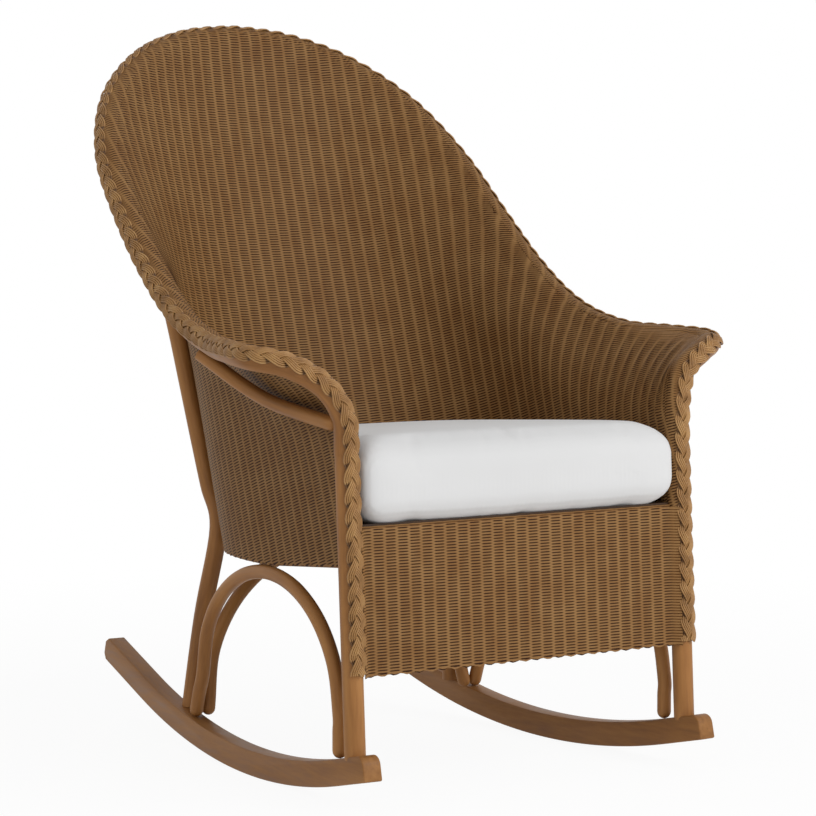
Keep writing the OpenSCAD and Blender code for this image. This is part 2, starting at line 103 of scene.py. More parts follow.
# Stained wood under satin varnish: the eye sees long pores that took more stain, a slow drift of
# tone between honey and brown along the piece, and a soft highlight that the pores break. Pores
# are drawn far wider than they grow, so that they show. On a bent pole the pattern reads the
# place in the wood, and so it follows each bend.
def varnished_wood(name, along, stops, pore_mm=(1.6, 60.0), drift_scale=(14.0, 3.0),
                   pore_share=0.45, in_bent_wood=False):
    material, tree, shader = bare_material(name)
    if in_bent_wood:
        place = add_node(tree, "ShaderNodeAttribute", attribute_name="grain").outputs["Vector"]
    else:
        place = add_node(tree, "ShaderNodeTexCoord").outputs["Object"]
    pore_scale = (1000 / pore_mm[0] / 4, 1000 / pore_mm[1])
    patterns = []
    for (across, lengthways), detail, rough in ((pore_scale, 4.0, 0.6), (drift_scale, 2.0, 0.5)):
        scale = [across] * 3
        scale[along] = lengthways
        stretched = add_node(tree, "ShaderNodeMapping", {"Vector": place, "Scale": scale})
        noise = add_node(tree, "ShaderNodeTexNoise", {"Vector": stretched.outputs[0], "Scale": 1.0,
                                                      "Detail": detail, "Roughness": rough})
        patterns.append(noise.outputs["Fac"])
    pores, drift = patterns
    tone = add_node(tree, "ShaderNodeMix", {"Factor": pore_share, "A": drift, "B": pores})
    gloss = add_node(tree, "ShaderNodeMapRange", {"Value": pores, "From Min": 0.3, "From Max": 0.7,
                                                  "To Min": 0.4, "To Max": 0.56})
    bump = add_node(tree, "ShaderNodeBump", {"Strength": 0.25, "Distance": 0.0004, "Height": pores})
    colour = shade_between(tree, tone.outputs["Result"], stops)
    set_inputs(tree, shader, {"Base Color": colour, "Roughness": gloss.outputs["Result"],
                              "Normal": bump.outputs["Normal"], "IOR": 1.5,
                              "Specular IOR Level": 0.25})
    return material


def plain_mesh(name, points_mm, faces, uv=None, fields=(), edges=()):
    mesh = bpy.data.meshes.new(name)
    mesh.from_pydata((np.asarray(points_mm) / 1000).tolist(), edges, faces)
    if uv is not None:
        corner = np.zeros(len(mesh.loops), np.int32)
        mesh.loops.foreach_get("vertex_index", corner)
        layer = mesh.uv_layers.new(name="weave")
        layer.data.foreach_set("uv", np.asarray(uv, np.float32)[corner].ravel())
    for field, kind, values in fields:
        made = mesh.attributes.new(field, kind, "POINT")
        made.data.foreach_set("value" if kind == "FLOAT" else "vector",
                              np.asarray(values, np.float32).ravel())
    mesh.polygons.foreach_set("use_smooth", [True] * len(mesh.polygons))
    piece = bpy.data.objects.new(name, mesh)
    bpy.context.scene.collection.objects.link(piece)
    return piece


def put_on(piece, node, body):
    if node:
        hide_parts(node)
    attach(piece, body)


rocker_radius, rocker_height, rocker_thick = 1140.0, 36.0, 28.0
toe_in = math.radians(3.8)
half_spacing, post_forward = 280.0, 278.0
rocker_nose, rocker_tail, straight_front, straight_rear = 52.0, 500.0, 250.0, 360.0
nose_round, tail_cut, edge_round, arc_points = 14.0, 8.0, 2.5, 62
inner_radius = rocker_radius - rocker_height
rocker_wood = varnished_wood("stained_beech_rocker_varnished", 1,
                             [(0.3, "#714824"), (0.5, "#906234"), (0.7, "#a57544")])


def rocker_outline():
    """Side view of a rocker, as places along it and heights: under, tail, over and nose."""
    front = math.asin(straight_front / rocker_radius)
    rear = math.asin(straight_rear / rocker_radius)
    turns = np.linspace(-front, rear, arc_points)
    under, over = [[(radius * math.sin(a), rocker_radius - radius * math.cos(a)) for a in arc]
                   for radius, arc in ((rocker_radius, turns), (inner_radius, turns[::-1]))]

    def beyond(start, sense, slope, length, height):
        return (start[0] + sense * (length * math.cos(slope) - height * math.sin(slope)),
                start[1] + length * math.sin(slope) + height * math.cos(slope))

    tail, nose = rocker_tail - straight_rear, post_forward + rocker_nose - straight_front
    end = [beyond(under[-1], 1, rear, tail - tail_cut, 0), beyond(under[-1], 1, rear, tail, tail_cut),
           beyond(over[0], 1, rear, tail, -tail_cut), beyond(over[0], 1, rear, tail - tail_cut, 0)]
    corner = [beyond(over[-1], -1, front, nose - nose_round * (1 - math.sin(a)),
                     -nose_round * (1 - math.cos(a))) for a in np.radians(np.arange(0, 91, 15))]
    return under + end + over + corner + [beyond(under[0], -1, front, nose, 0)]


for side, sign in (("left", 1), ("right", -1)):
    outline = np.array(rocker_outline())
    count = len(outline)
    wall = [np.column_stack([np.full(count, x), outline]) for x in (-rocker_thick / 2, rocker_thick / 2)]
    points = np.concatenate(wall) + [0, post_forward, 0]
    x = points[:, 0] * math.cos(toe_in) + points[:, 1] * math.sin(toe_in)
    y = -points[:, 0] * math.sin(toe_in) + points[:, 1] * math.cos(toe_in)
    points = np.column_stack([sign * (x - half_spacing), y - post_forward, points[:, 2]])
    work = bmesh.new()
    made = [work.verts.new(place / 1000) for place in points]
    work.faces.new(made[:count])
    work.faces.new(made[count:][::-1])
    for k in range(count):
        m = (k + 1) % count
        work.faces.new((made[k], made[count + k], made[count + m], made[m]))
    bmesh.ops.recalc_face_normals(work, faces=work.faces)
    sharp = [edge for edge in work.edges if edge.calc_face_angle(0) > math.radians(30)]
    bmesh.ops.bevel(work, geom=sharp, offset=edge_round / 1000, segments=3, profile=0.5,
                    affect="EDGES")
    runner = plain_mesh("rocker_runner_" + side, [], [])
    work.to_mesh(runner.data)
    work.free()
    runner.data.polygons.foreach_set("use_smooth", [True] * len(runner.data.polygons))
    runner.data.set_sharp_from_angle(angle=math.radians(28))
    runner.data.materials.append(rocker_wood)
    put_on(runner, "rocker_" + side, "chair")


# Posts, arches, bow and arm rails. Round poles of beech, bent in steam and stained with the
# rockers. The front posts stand in the rockers, the bow stands on them, and the rear posts follow
# the back of the woven shell up to it, so the shell's form is worked out here.
def unit(v):
    return v / np.linalg.norm(v, axis=-1, keepdims=True)


def mix(a, b, k):
    return a + (b - a) * k


def smooth(x):
    x = np.clip(x, 0, 1)
    return x * x * (3 - 2 * x)


def spline_at(points, step):
    """Points of a smooth line through all the points, where a step is the way to the next one."""
    last = len(points) - 1
    i = np.clip(np.floor(step).astype(int), 0, last - 1)
    t = (step - i)[..., None]
    a, b = points[np.maximum(i - 1, 0)], points[i]
    c, d = points[i + 1], points[np.minimum(i + 2, last)]
    start = np.where((i > 0)[..., None], (c - a) / 2, c - b)
    end = np.where((i < last - 1)[..., None], (d - b) / 2, c - b)
    return ((2 * t**3 - 3 * t**2 + 1) * b + (t**3 - 2 * t**2 + t) * start
            + (3 * t**2 - 2 * t**3) * c + (t**3 - t**2) * end)


def square_to(v, way):
    """Direction nearest to v that is square to a way."""
    return unit(v - np.sum(v * way, axis=-1, keepdims=True) * way)


post_radius, rear_radius, arch_radius, rail_radius, bow_radius = 14.5, 13.0, 10.0, 10.0, 15.0
sheet_half_thick, fix_gap = 2.5, 0.3
post_foot_z, post_top_z, post_slope = 72.0, 470.0, math.radians(3.3)
post_lean = math.tan(post_slope)


def post_y(z):
    """Place of a front post's middle line at a height."""
    return -post_forward + (np.asarray(z, float) - post_foot_z) * post_lean


# The bow is set out by points from the left front post to the middle of the back. A step is the
# way from one of these points to the next, and places on the bow are counted in steps.
bow_points = np.array([
    [-280, post_y(post_top_z), post_top_z], [-283, post_y(520) - 1, 520], [-305, -239, 561],
    [-352, -226, 588], [-389, -192, 598], [-377, -118, 603], [-352, -30, 609], [-341, 68, 638],
    [-333, 158, 696], [-325, 252, 780], [-309, 338, 869], [-261, 411, 953], [-181, 465, 1015],
    [-90, 494, 1047], [0, 503, 1057]], float)
bow_last = len(bow_points) - 1
bow_rear_y, bow_top_z = bow_points[-1, 1:]


def bow_at(step):
    return spline_at(bow_points, step)


def bow_run(step):
    return unit(bow_at(np.minimum(bow_last, step + 0.05)) - bow_at(np.maximum(0, step - 0.05)))


# Plan of the shell at its hem: straight sides behind the front posts, then a full round at the
# rear. The hem rises a little towards the posts.
rake_angle = math.radians(18.5)
rake = math.tan(rake_angle)
hem_height, hem_rise, hem_reach = 303.0, 18.0, 0.33
back_line = bow_rear_y - (bow_top_z - hem_height) * rake
shell_half, plan_depth, plan_power, corner_length = 266.0, 285.0, 2.5, 440.0
plan_start = back_line - plan_depth
post_inset = 14.0
post_behind = math.sqrt((post_radius + sheet_half_thick + fix_gap) ** 2 - post_inset ** 2)
front_edge = float(post_y(hem_height)) + post_behind
side_length = plan_start - front_edge


def hem_z(t):
    return hem_height + hem_rise * np.maximum(0, 1 - t / hem_reach)


def plan_point(t):
    """Place on the shell's hem, at the share t of the way from the left post to the middle."""
    distance = t * (side_length + corner_length)
    turn = np.clip((distance - side_length) / corner_length, 0, 1) * math.pi / 2
    power = 2 / plan_power
    straight = distance < side_length
    x = np.where(straight, -shell_half, -shell_half * np.maximum(0, np.cos(turn)) ** power)
    y = np.where(straight, front_edge + distance, plan_start + plan_depth * np.sin(turn) ** power)
    return np.stack([x, y, hem_z(t)], -1)


# The sheet's front edge runs up the post for its lower half, and then along the bow to tip_step:
# from_post and from_bow say on which side of them it lies. Further round, each stake runs
# straight up, and only near the bow curves out to it.
from_post = np.array([post_inset, post_behind, 0.0])
from_bow = np.array([0.35, 1, -0.75]) * np.linalg.norm(from_post)
tip_step, bow_share, turn_step, turn_steps = 4.15, 0.5, 1.0, 2.4
flare_start, flare_power, rim_power = 0.16, 6, 0.93
edge_gap = bow_radius + sheet_half_thick / 2 + fix_gap


def sheet_points(t, s):
    """Points of the sheet at the share t round the plan and s up a stake, and those points as
    they lie before the stakes curve out to the bow, which carry the measure of the weave."""
    z = mix(hem_z(0 * s), post_top_z, s / bow_share)
    step = np.maximum(0, s - bow_share) / (1 - bow_share) * tip_step
    turned = smooth((step - turn_step) / turn_steps)[..., None]
    away = square_to(mix(from_post, from_bow, turned), bow_run(step))
    on_post = np.stack([0 * s - half_spacing, post_y(z), z], -1) + from_post
    on_bow = bow_at(step) + away * (bow_radius + sheet_half_thick + 3 * fix_gap)
    front = np.where((s < bow_share)[..., None], on_post, on_bow)
    front_flat = np.stack([0 * s - shell_half, post_y(front[..., 2]) + post_behind, front[..., 2]], -1)
    foot = plan_point(t)
    top_step = mix(tip_step, bow_last, t ** rim_power)
    reach = bow_at(top_step) - foot
    lean = mix(post_lean, rake, smooth(t / flare_start))
    sink = lean * reach[..., 2]
    aim = np.stack([reach[..., 0] * flare_power, (reach[..., 1] - sink) * flare_power + sink,
                    reach[..., 2]], -1)
    reach = reach - square_to(aim, bow_run(top_step)) * edge_gap
    sink = lean * reach[..., 2]
    flat = foot + np.stack([0 * s, sink * s, reach[..., 2] * s], -1)
    pull = np.stack([reach[..., 0], reach[..., 1] - sink, 0 * s], -1)
    full = flat + pull * (s ** flare_power)[..., None]
    share = smooth(t / flare_start)[..., None]
    return mix(front, full, share), mix(front_flat, flat, share)


def run_modifiers(piece):
    bpy.context.view_layer.update()
    evaluated = piece.evaluated_get(bpy.context.evaluated_depsgraph_get())
    made = bpy.data.meshes.new_from_object(evaluated)
    piece.modifiers.clear()
    piece.data = made
    made.name = piece.name
    return piece


def start_tree(name, sizes):
    """A Geometry Nodes tree with an input for each size and for the finish, and those inputs."""
    tree = bpy.data.node_groups.new(name, "GeometryNodeTree")
    socket = tree.interface.new_socket
    socket(name="Geometry", in_out="INPUT", socket_type="NodeSocketGeometry")
    for size, value in sizes.items():
        kind = "NodeSocketInt" if isinstance(value, int) else "NodeSocketFloat"
        socket(name=size, in_out="INPUT", socket_type=kind).default_value = value
    socket(name="finish", in_out="INPUT", socket_type="NodeSocketMaterial")
    socket(name="Geometry", in_out="OUTPUT", socket_type="NodeSocketGeometry")
    return tree, add_node(tree, "NodeGroupInput").outputs


def end_tree(tree, made, given):
    real = add_node(tree, "GeometryNodeRealizeInstances", {0: made.outputs[0]})
    dressed = add_node(tree, "GeometryNodeSetMaterial", {"Geometry": real.outputs[0],
                                                         "Material": given["finish"]})
    add_node(tree, "NodeGroupOutput", {"Geometry": dressed.outputs[0]})
    return tree


def use_tree(piece, tree, **sizes):
    modifier = piece.modifiers.new(tree.name, "NODES")
    modifier.node_group = tree
    for item in tree.interface.items_tree:
        if item.item_type == "SOCKET" and item.in_out == "INPUT" and item.name in sizes:
            modifier[item.identifier] = sizes[item.name]
    return run_modifiers(piece)


# A pole along a line: a round section is carried along it, thinned at the ends by girth. The
# place in the wood, across and along the pole, is kept so that the grain follows each bend.
def pole_tree():
    tree, given = start_tree("bent_pole", {"pole_radius": 0.0145, "sides": 28})
    girth, across, run = [
        add_node(tree, "GeometryNodeInputNamedAttribute", {"Name": name}, data_type=kind).outputs[0]
        for name, kind in (("girth", "FLOAT"), ("ring", "FLOAT_VECTOR"), ("run", "FLOAT"))]
    line = add_node(tree, "GeometryNodeMeshToCurve", {"Mesh": given["Geometry"]})
    ring = add_node(tree, "GeometryNodeCurvePrimitiveCircle", {"Resolution": given["sides"],
                                                               "Radius": given["pole_radius"]})
    spot = add_node(tree, "GeometryNodeInputPosition").outputs[0]
    marked = add_node(tree, "GeometryNodeStoreNamedAttribute",
                      {"Geometry": ring.outputs[0], "Name": "ring", "Value": spot},
                      data_type="FLOAT_VECTOR", domain="POINT")
    pole = add_node(tree, "GeometryNodeCurveToMesh", {
        "Curve": line.outputs[0], "Profile Curve": marked.outputs[0], "Scale": girth, "Fill Caps": True})
    parts = add_node(tree, "ShaderNodeSeparateXYZ", {0: across}).outputs
    in_wood = add_node(tree, "ShaderNodeCombineXYZ", {0: parts["X"], 1: parts["Y"], 2: run}).outputs[0]
    grained = add_node(tree, "GeometryNodeStoreNamedAttribute",
                       {"Geometry": pole.outputs[0], "Name": "grain", "Value": in_wood},
                       data_type="FLOAT_VECTOR", domain="POINT")
    smooth_skin = add_node(tree, "GeometryNodeSetShadeSmooth", {"Geometry": grained.outputs[0]})
    return end_tree(tree, smooth_skin, given)


pole_wood = varnished_wood("steam_bent_beech_pole_varnished", 2,
                           [(0.3, "#7e5229"), (0.5, "#9f6d3b"), (0.7, "#b27f49")],
                           (1.8, 70.0), (45.0, 6.0), 0.4, True)
pole_maker = pole_tree()
dome_turns = np.radians([22, 44, 62, 76, 86])
pole_sides, bow_sides, arch_sides = 28, 24, 20


def run_along(line):
    """Length run from the start of a line, or of each of many lines, to each of its points."""
    run = np.cumsum(np.linalg.norm(np.diff(line, axis=-2), axis=-1), axis=-1)
    return np.concatenate([0 * run[..., :1], run], -1)


def bent_pole(name, line, radius, node, dome_start=False, dome_end=False, sides=pole_sides):
    line = np.asarray(line, float)
    ways = unit(np.gradient(line, axis=0))
    girth = np.ones(len(line))
    out, thin = np.sin(dome_turns)[:, None], np.cos(dome_turns)
    if dome_start:
        line = np.concatenate([line[0] - ways[0] * radius * out[::-1], line])
        girth = np.concatenate([thin[::-1], girth])
    if dome_end:
        line = np.concatenate([line, line[-1] + ways[-1] * radius * out])
        girth = np.concatenate([girth, thin])
    # The name's length picks the part of the grain, so that a left pole differs from its right one.
    run = run_along(line) / 1000 + len(name) * 0.37
    pole = plain_mesh(name, line, [], fields=[("girth", "FLOAT", girth), ("run", "FLOAT", run)],
                      edges=[(k, k + 1) for k in range(len(line) - 1)])
    use_tree(pole, pole_maker, pole_radius=radius / 1000, sides=sides, finish=pole_wood)
    pole.data.set_sharp_from_angle(angle=math.radians(50))
    put_on(pole, node, "chair")


def smooth_line(way_points, steps):
    way_points = np.array(way_points, float)
    last = len(way_points) - 1
    return spline_at(way_points, np.linspace(0, last, last * steps + 1))


def rocker_x(y):
    return -half_spacing + (y + post_forward) * math.tan(toe_in)


def rocker_over(y, above=0.0):
    """Height of the rocker's upper side at y, or of a line that keeps above it."""
    return rocker_radius - math.sqrt((inner_radius - above) ** 2 - y * y)


post_sunk = 5
front_heights = (rocker_over(post_forward) - post_sunk, 200, 340, post_top_z)
front_line = np.array([[-half_spacing, post_y(z), z] for z in front_heights], float)
bow_line = bow_at(np.linspace(0, bow_last, 281))
whole_bow = np.concatenate([bow_line, bow_line[-2::-1] * [-1, 1, 1]])
bent_pole("bent_bow", whole_bow, bow_radius, "arm_back_bow", sides=bow_sides)

# Rear posts: from the rocker to a knee at the shell's lower corner, then up along the shell. The
# line starts inside the rocker and is cut off just under the rocker's upper side.
post_stand, knee_t, knee_turn, knee_low = 1.0, 0.707, 0.16, 0.04
rear_back, foot_in, rear_sunk = 236.0, 10.0, 6
below_foot, shin_bulge, shell_shares = [0, 4, -20], [0, 5, 0], np.arange(0.14, 0.93, 0.13)


def along_shell(s, near=0.01):
    """Place of a rear post's middle line outside the shell, at the share s of its height."""
    t, s = np.array([knee_t - knee_turn * s]), np.array([s])
    u = sheet_points(t + near, s)[0] - sheet_points(t - near, s)[0]
    v = sheet_points(t, s + near)[0] - sheet_points(t, s - near)[0]
    stand = unit(np.cross(v, u)) * (rear_radius + sheet_half_thick + post_stand)
    return (sheet_points(t, s)[0] + stand)[0]


knee = along_shell(knee_low)
rear_foot = np.array([rocker_x(rear_back) + foot_in, rear_back, rocker_over(rear_back)])
rear_way = [rear_foot + below_foot, mix(rear_foot, knee, 0.5) + shin_bulge, knee]
rear_way += [along_shell(s) for s in shell_shares]
rear_line = smooth_line(rear_way, 8)
rear_line = rear_line[rear_line[:, 2] > rocker_over(rear_back) - rear_sunk]

# Arches: long half ovals. The side arches stand on the rockers, and the back arch stands between
# their rear feet and leans back under the shell.
arch_front, arch_rear, arch_spring, rear_splay = 236.0, 196.0, 122.0, 22.0
crown_clear, back_inset = 3, 20
crown_z = hem_height - crown_clear - fix_gap - arch_radius
front_rest, rear_rest = [rocker_over(y, arch_radius + fix_gap) for y in (arch_front, arch_rear)]


def crown(mid, half, low, high):
    """Half an oval as places and heights, from low over high to low again."""
    return [(mid - half * math.cos(a), mix(low, high, math.sin(a)))
            for a in np.radians(np.arange(0, 181, 22.5))]


spring = arch_rear - rear_splay
side_way = [(-arch_front, front_rest), (-arch_front, mix(front_rest, arch_spring, 0.5))]
side_way += crown((spring - arch_front) / 2, (spring + arch_front) / 2, arch_spring, crown_z)
side_way += [(arch_rear - rear_splay * 0.45, mix(rear_rest, arch_spring, 0.5)), (arch_rear, rear_rest)]
side_line = smooth_line([(0, y, z) for y, z in side_way], 7)
along = side_line[:, 1] + post_forward
side_line = np.column_stack([-half_spacing + along * math.sin(toe_in),
                             -post_forward + along * math.cos(toe_in), side_line[:, 2]])

back_half = -rocker_x(arch_rear) - 2 * arch_radius - fix_gap
back_top = back_line - sheet_half_thick - fix_gap - back_inset
back_lean = math.atan((back_top - arch_rear) / (crown_z - rear_rest))
back_way = crown(0, back_half, 0, (crown_z - rear_rest) / math.cos(back_lean))
arch_line = smooth_line([(x, arch_rear + z * math.sin(back_lean), rear_rest + z * math.cos(back_lean))
                         for x, z in back_way], 8)
bent_pole("back_arch_pole", arch_line, arch_radius, "back_arch", True, True, arch_sides)

# Arm rails: from behind the bow's front bend back and up to the underside of the arm.
rail_from = bow_at(np.array([0.9]))[0] + [-8, bow_radius + 2.2, -4]
rail_line = smooth_line([rail_from, [-299, -118, 529], [-311, -50, 551], [-341, 20, 594]], 10)
for side, flip in (("left", [1, 1, 1]), ("right", [-1, 1, 1])):
    bent_pole("front_post_pole_" + side, front_line * flip, post_radius, "front_post_" + side)
    bent_pole("rear_post_pole_" + side, rear_line * flip, rear_radius, "rear_post_" + side)
    bent_pole("side_arch_pole_" + side, side_line * flip, arch_radius, "side_arch_" + side,
              True, True, arch_sides)
    bent_pole("arm_rail_pole_" + side, rail_line * flip, rail_radius, "arm_rail_" + side,
              True, False, arch_sides)


# Seat frame and deck. Sawn beech rails inside the shell, stained like the poles, carry a deck
# of birch plywood coloured near black as painted shade: its front edge is the dark line of shade
# under the cushion.
def finish_node(node, material):
    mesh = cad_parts[node].data
    mesh.materials.clear()
    mesh.materials.append(material)


rail_wood = varnished_wood("stained_beech_sawn_rail", 0,
                           [(0.3, "#6d472a"), (0.5, "#91643c"), (0.7, "#a6794d")])
# Painted shade: the deck's near-black colour stands for the shade under the cushion.
deck_painted_shade_wood = varnished_wood("birch_plywood_painted_shade_dark", 1,
                           [(0.3, "#2e1d10"), (0.5, "#382414"), (0.7, "#442d1a")])
for rail in ("seat_rail_front", "seat_bow", "seat_cross_rail"):
    finish_node(rail, rail_wood)
finish_node("seat_deck", deck_painted_shade_wood)

# Woven shell. Paper cord twisted to 2 mm is woven in and out of upright stakes set 20 mm apart,
# from the hem round the seat up to the bow and over it to the braid. It was lacquered in one tone.
stake_pitch = 19.6
cord_pitch = 2.0
weave_relief = 1.0
sheet_thick = 2.2


def grid_faces(columns, rows):
    corner = (np.arange(columns - 1)[:, None] * rows + np.arange(rows - 1)[None, :]).ravel()
    return np.stack([corner, corner + rows, corner + rows + 1, corner + 1], -1)


def merge_close(piece, gap_mm=0.02):
    work = bmesh.new()
    work.from_mesh(piece.data)
    bmesh.ops.remove_doubles(work, verts=work.verts, dist=gap_mm / 1000)
    bmesh.ops.dissolve_degenerate(work, edges=work.edges, dist=gap_mm / 4000)
    work.to_mesh(piece.data)
    work.free()


def cord_waves(tree, weave):
    """Cosines across the stakes and along a cord, from the weave's measure in stakes and rows."""
    parts = add_node(tree, "ShaderNodeSeparateXYZ", {0: weave}).outputs
    waves = []
    for part, turn in (("X", math.pi), ("Y", 2 * math.pi)):
        angle = add_node(tree, "ShaderNodeMath", {0: parts[part], 1: turn}, operation="MULTIPLY")
        waves.append(add_node(tree, "ShaderNodeMath", {0: angle.outputs[0]}, operation="COSINE").outputs[0])
    return waves


# Relief of the weave: a row of cord stands proud on one stake and dips behind the next, and the
# row above it does the opposite. Towards the poles the rows pack tight and lie flat.
def weave_tree():
    tree, given = start_tree("paper_cord_relief", {"cord_relief": 0.001, "stake_relief": 0.0003})
    weave, openness, outward = [
        add_node(tree, "GeometryNodeInputNamedAttribute", {"Name": name}, data_type=kind).outputs[0]
        for name, kind in (("weave", "FLOAT_VECTOR"), ("openness", "FLOAT"), ("outward", "FLOAT_VECTOR"))]
    across, along = cord_waves(tree, weave)
    cords = across
    for factor in (along, openness, given["cord_relief"]):
        cords = add_node(tree, "ShaderNodeMath", {0: cords, 1: factor}, operation="MULTIPLY").outputs[0]
    rib = add_node(tree, "ShaderNodeMath", {0: across, 1: across}, operation="MULTIPLY").outputs[0]
    height = add_node(tree, "ShaderNodeMath", {0: rib, 1: given["stake_relief"], 2: cords},
                      operation="MULTIPLY_ADD").outputs[0]
    offset = add_node(tree, "ShaderNodeVectorMath", {0: outward, "Scale": height}, operation="SCALE")
    moved = add_node(tree, "GeometryNodeSetPosition", {"Geometry": given["Geometry"],
                                                       "Offset": offset.outputs[0]})
    return end_tree(tree, moved, given)


# Lacquered paper cord: the eye sees short slots where a stake shows between two rows, painted dark
# as shade, lighter ribs between the stakes, with a little painted shade on the cords over the stakes,
# fine cord twist, and cords that took the colour unevenly.
def woven_cord(name, light, mid, crease_shade_tone, slot_shade_tone):
    material, tree, shader = bare_material(name)
    weave = add_node(tree, "ShaderNodeUVMap", uv_map="weave").outputs["UV"]
    openness = add_node(tree, "ShaderNodeAttribute", attribute_name="openness").outputs["Fac"]
    across, along = cord_waves(tree, weave)

    # Slots: painted shade, dark where a row dips behind its stake, and faint on the ribs between the stakes.
    sense = add_node(tree, "ShaderNodeMath", {0: across}, operation="SIGN").outputs[0]
    behind = add_node(tree, "ShaderNodeMath", {0: along, 1: sense}, operation="MULTIPLY").outputs[0]
    rib = add_node(tree, "ShaderNodeMath", {0: across}, operation="ABSOLUTE").outputs[0]
    high, wide, row_edge, between = [
        add_node(tree, "ShaderNodeMapRange", {"Value": value, "From Min": start, "From Max": end,
                                              "To Min": low, "To Max": top},
                 interpolation_type="SMOOTHSTEP").outputs["Result"]
        for value, start, end, low, top in ((behind, 0.1, -0.65, 0.0, 1.0), (rib, 0.1, 0.6, 0.2, 1.0),
                                            (along, 0.0, 0.9, 0.0, 1.0), (rib, 0.1, 0.55, 0.15, 0.22))]
    painted_slot_shade = add_node(tree, "ShaderNodeMath", {0: high, 1: wide}, operation="MULTIPLY").outputs[0]
    painted_gap_shade = add_node(tree, "ShaderNodeMath", {0: painted_slot_shade, 1: openness}, operation="MULTIPLY").outputs[0]

    # Creases: where the rows are packed tight, only a fine line of painted shade is left between them.
    packed = add_node(tree, "ShaderNodeMath", {0: 1.0, 1: openness}, operation="SUBTRACT").outputs[0]
    painted_crease_shade = add_node(tree, "ShaderNodeMath", {0: row_edge, 1: packed}, operation="MULTIPLY").outputs[0]

    # Tone: the colour differs a little from cord to cord, and in clouds over the whole sheet.
    stretched = add_node(tree, "ShaderNodeMapping", {"Vector": weave, "Scale": (0.9, 0.1, 1.0)}).outputs[0]
    uneven = add_node(tree, "ShaderNodeTexNoise", {"Vector": stretched, "Scale": 1.0, "Detail": 2.0},
                      noise_dimensions="2D").outputs["Fac"]
    place = add_node(tree, "ShaderNodeTexCoord").outputs["Object"]
    cloud = add_node(tree, "ShaderNodeTexNoise", {"Vector": place, "Scale": 9.0,
                                                  "Detail": 2.0}).outputs["Fac"]
    tone = add_node(tree, "ShaderNodeMix", {"Factor": 0.4, "A": uneven, "B": cloud}).outputs["Result"]
    toned = add_node(tree, "ShaderNodeMapRange", {"Value": tone, "From Min": 0.3, "From Max": 0.7,
                                                  "To Min": 0.2, "To Max": -0.2}).outputs["Result"]
    # Painted shade: the cords are a little darker over the stakes, where they bend, than on the ribs
    # between.
    shaded = add_node(tree, "ShaderNodeMath", {0: between, 1: toned}, operation="ADD").outputs[0]
    with_crease_shade = add_node(tree, "ShaderNodeMath", {0: painted_crease_shade, 1: 0.9, 2: shaded},
                       operation="MULTIPLY_ADD").outputs[0]
    # Painted shade: the far end of the ramp is the crease shade, and the mix below lays the slot shade over
    # the cord.
    cord = shade_between(tree, with_crease_shade, [(0.05, light), (0.45, mid), (1.0, crease_shade_tone)])
    colour = add_node(tree, "ShaderNodeMix", {"Factor": painted_gap_shade, "A": cord, "B": linear(slot_shade_tone)},
                      data_type="RGBA").outputs["Result"]

    # Twist: a slanted turn every 3 mm of cord, over the round of each stake.
    twist_way = (stake_pitch / 3 * 2 * math.pi, 12.0, 0.0)
    turn = add_node(tree, "ShaderNodeVectorMath", {0: weave, 1: twist_way},
                    operation="DOT_PRODUCT").outputs["Value"]
    twist = add_node(tree, "ShaderNodeMath", {0: turn}, operation="SINE").outputs[0]
    ridge = add_node(tree, "ShaderNodeMath", {0: across, 1: across}, operation="MULTIPLY").outputs[0]
    fine = add_node(tree, "ShaderNodeMath", {0: twist, 1: 0.12, 2: ridge}, operation="MULTIPLY_ADD")
    bump = add_node(tree, "ShaderNodeBump", {"Strength": 0.5, "Distance": 0.0004,
                                             "Height": fine.outputs[0]}).outputs["Normal"]
    set_inputs(tree, shader, {"Base Color": colour, "Normal": bump, "Roughness": 0.6,
                              "Specular IOR Level": 0.15})
    return material


# The last two colours are painted shade: of the creases and of the slots.
weave_finish = woven_cord("paper_cord_woven_lacquered_painted_shade", "#946f44", "#845d34", "#482808", "#301400")
relief = weave_tree()

# The sheet is worked out on a fine grid of its left half: columns round the hem, closer by the
# posts, and samples up each stake.
samples_up, fine_steps = 421, 2001
fine_columns, fine_for, column_gap = 2.0, 26.0, 5.4
stake_way = np.array([0, math.sin(rake_angle), math.cos(rake_angle)])


def back_length(place):
    """How far back a place is, measured square to the raked stakes."""
    return place[..., 1] * stake_way[2] - place[..., 2] * stake_way[1]


fine_t = np.linspace(0, 1, fine_steps)
foot_steps = np.diff(plan_point(fine_t), axis=0)
run_steps = np.hypot(foot_steps[:, 0], back_length(foot_steps))
run_round = np.concatenate([[0], np.cumsum(run_steps)])
wide_columns = int((run_round[-1] - fine_for) / column_gap)
column_runs = np.concatenate([np.arange(0, fine_for, fine_columns),
                              np.linspace(fine_for, run_round[-1], wide_columns)])
columns_half = len(column_runs) - 1
t_line = np.interp(column_runs, run_round, fine_t)
s_line = np.linspace(0, 1, samples_up)
t_grid, s_grid = np.meshgrid(t_line, s_line, indexing="ij")
curved, flat = sheet_points(t_grid, s_grid)

# The core line of the posts and the bow, by its run in mm from the foot of the braid up, and for
# each point of the bow the side on which the braid lies.
braid_facing = np.array([
    [0, -1, 0], [0, -1, 0.1], [-0.1, -0.95, 0.35], [-0.25, -0.8, 0.6], [-0.75, -0.45, 0.6],
    [-0.85, 0, 0.55], [-0.85, 0, 0.5], [-0.85, 0, 0.5], [-0.9, 0, 0.4], [-0.95, 0, 0.35],
    [-0.9, 0.1, 0.4], [-0.7, 0.2, 0.6], [-0.45, 0.3, 0.85], [-0.2, 0.33, 0.95], [0, 0.35, 1]])
braid_low, core_spacing, core_margin = 176.0, 1.5, 20
leg_length = (post_top_z - braid_low) / math.cos(post_slope)
fine_bow = np.linspace(0, bow_last, 3001)
bow_length = run_along(bow_at(fine_bow))
total_run = leg_length + bow_length[-1]


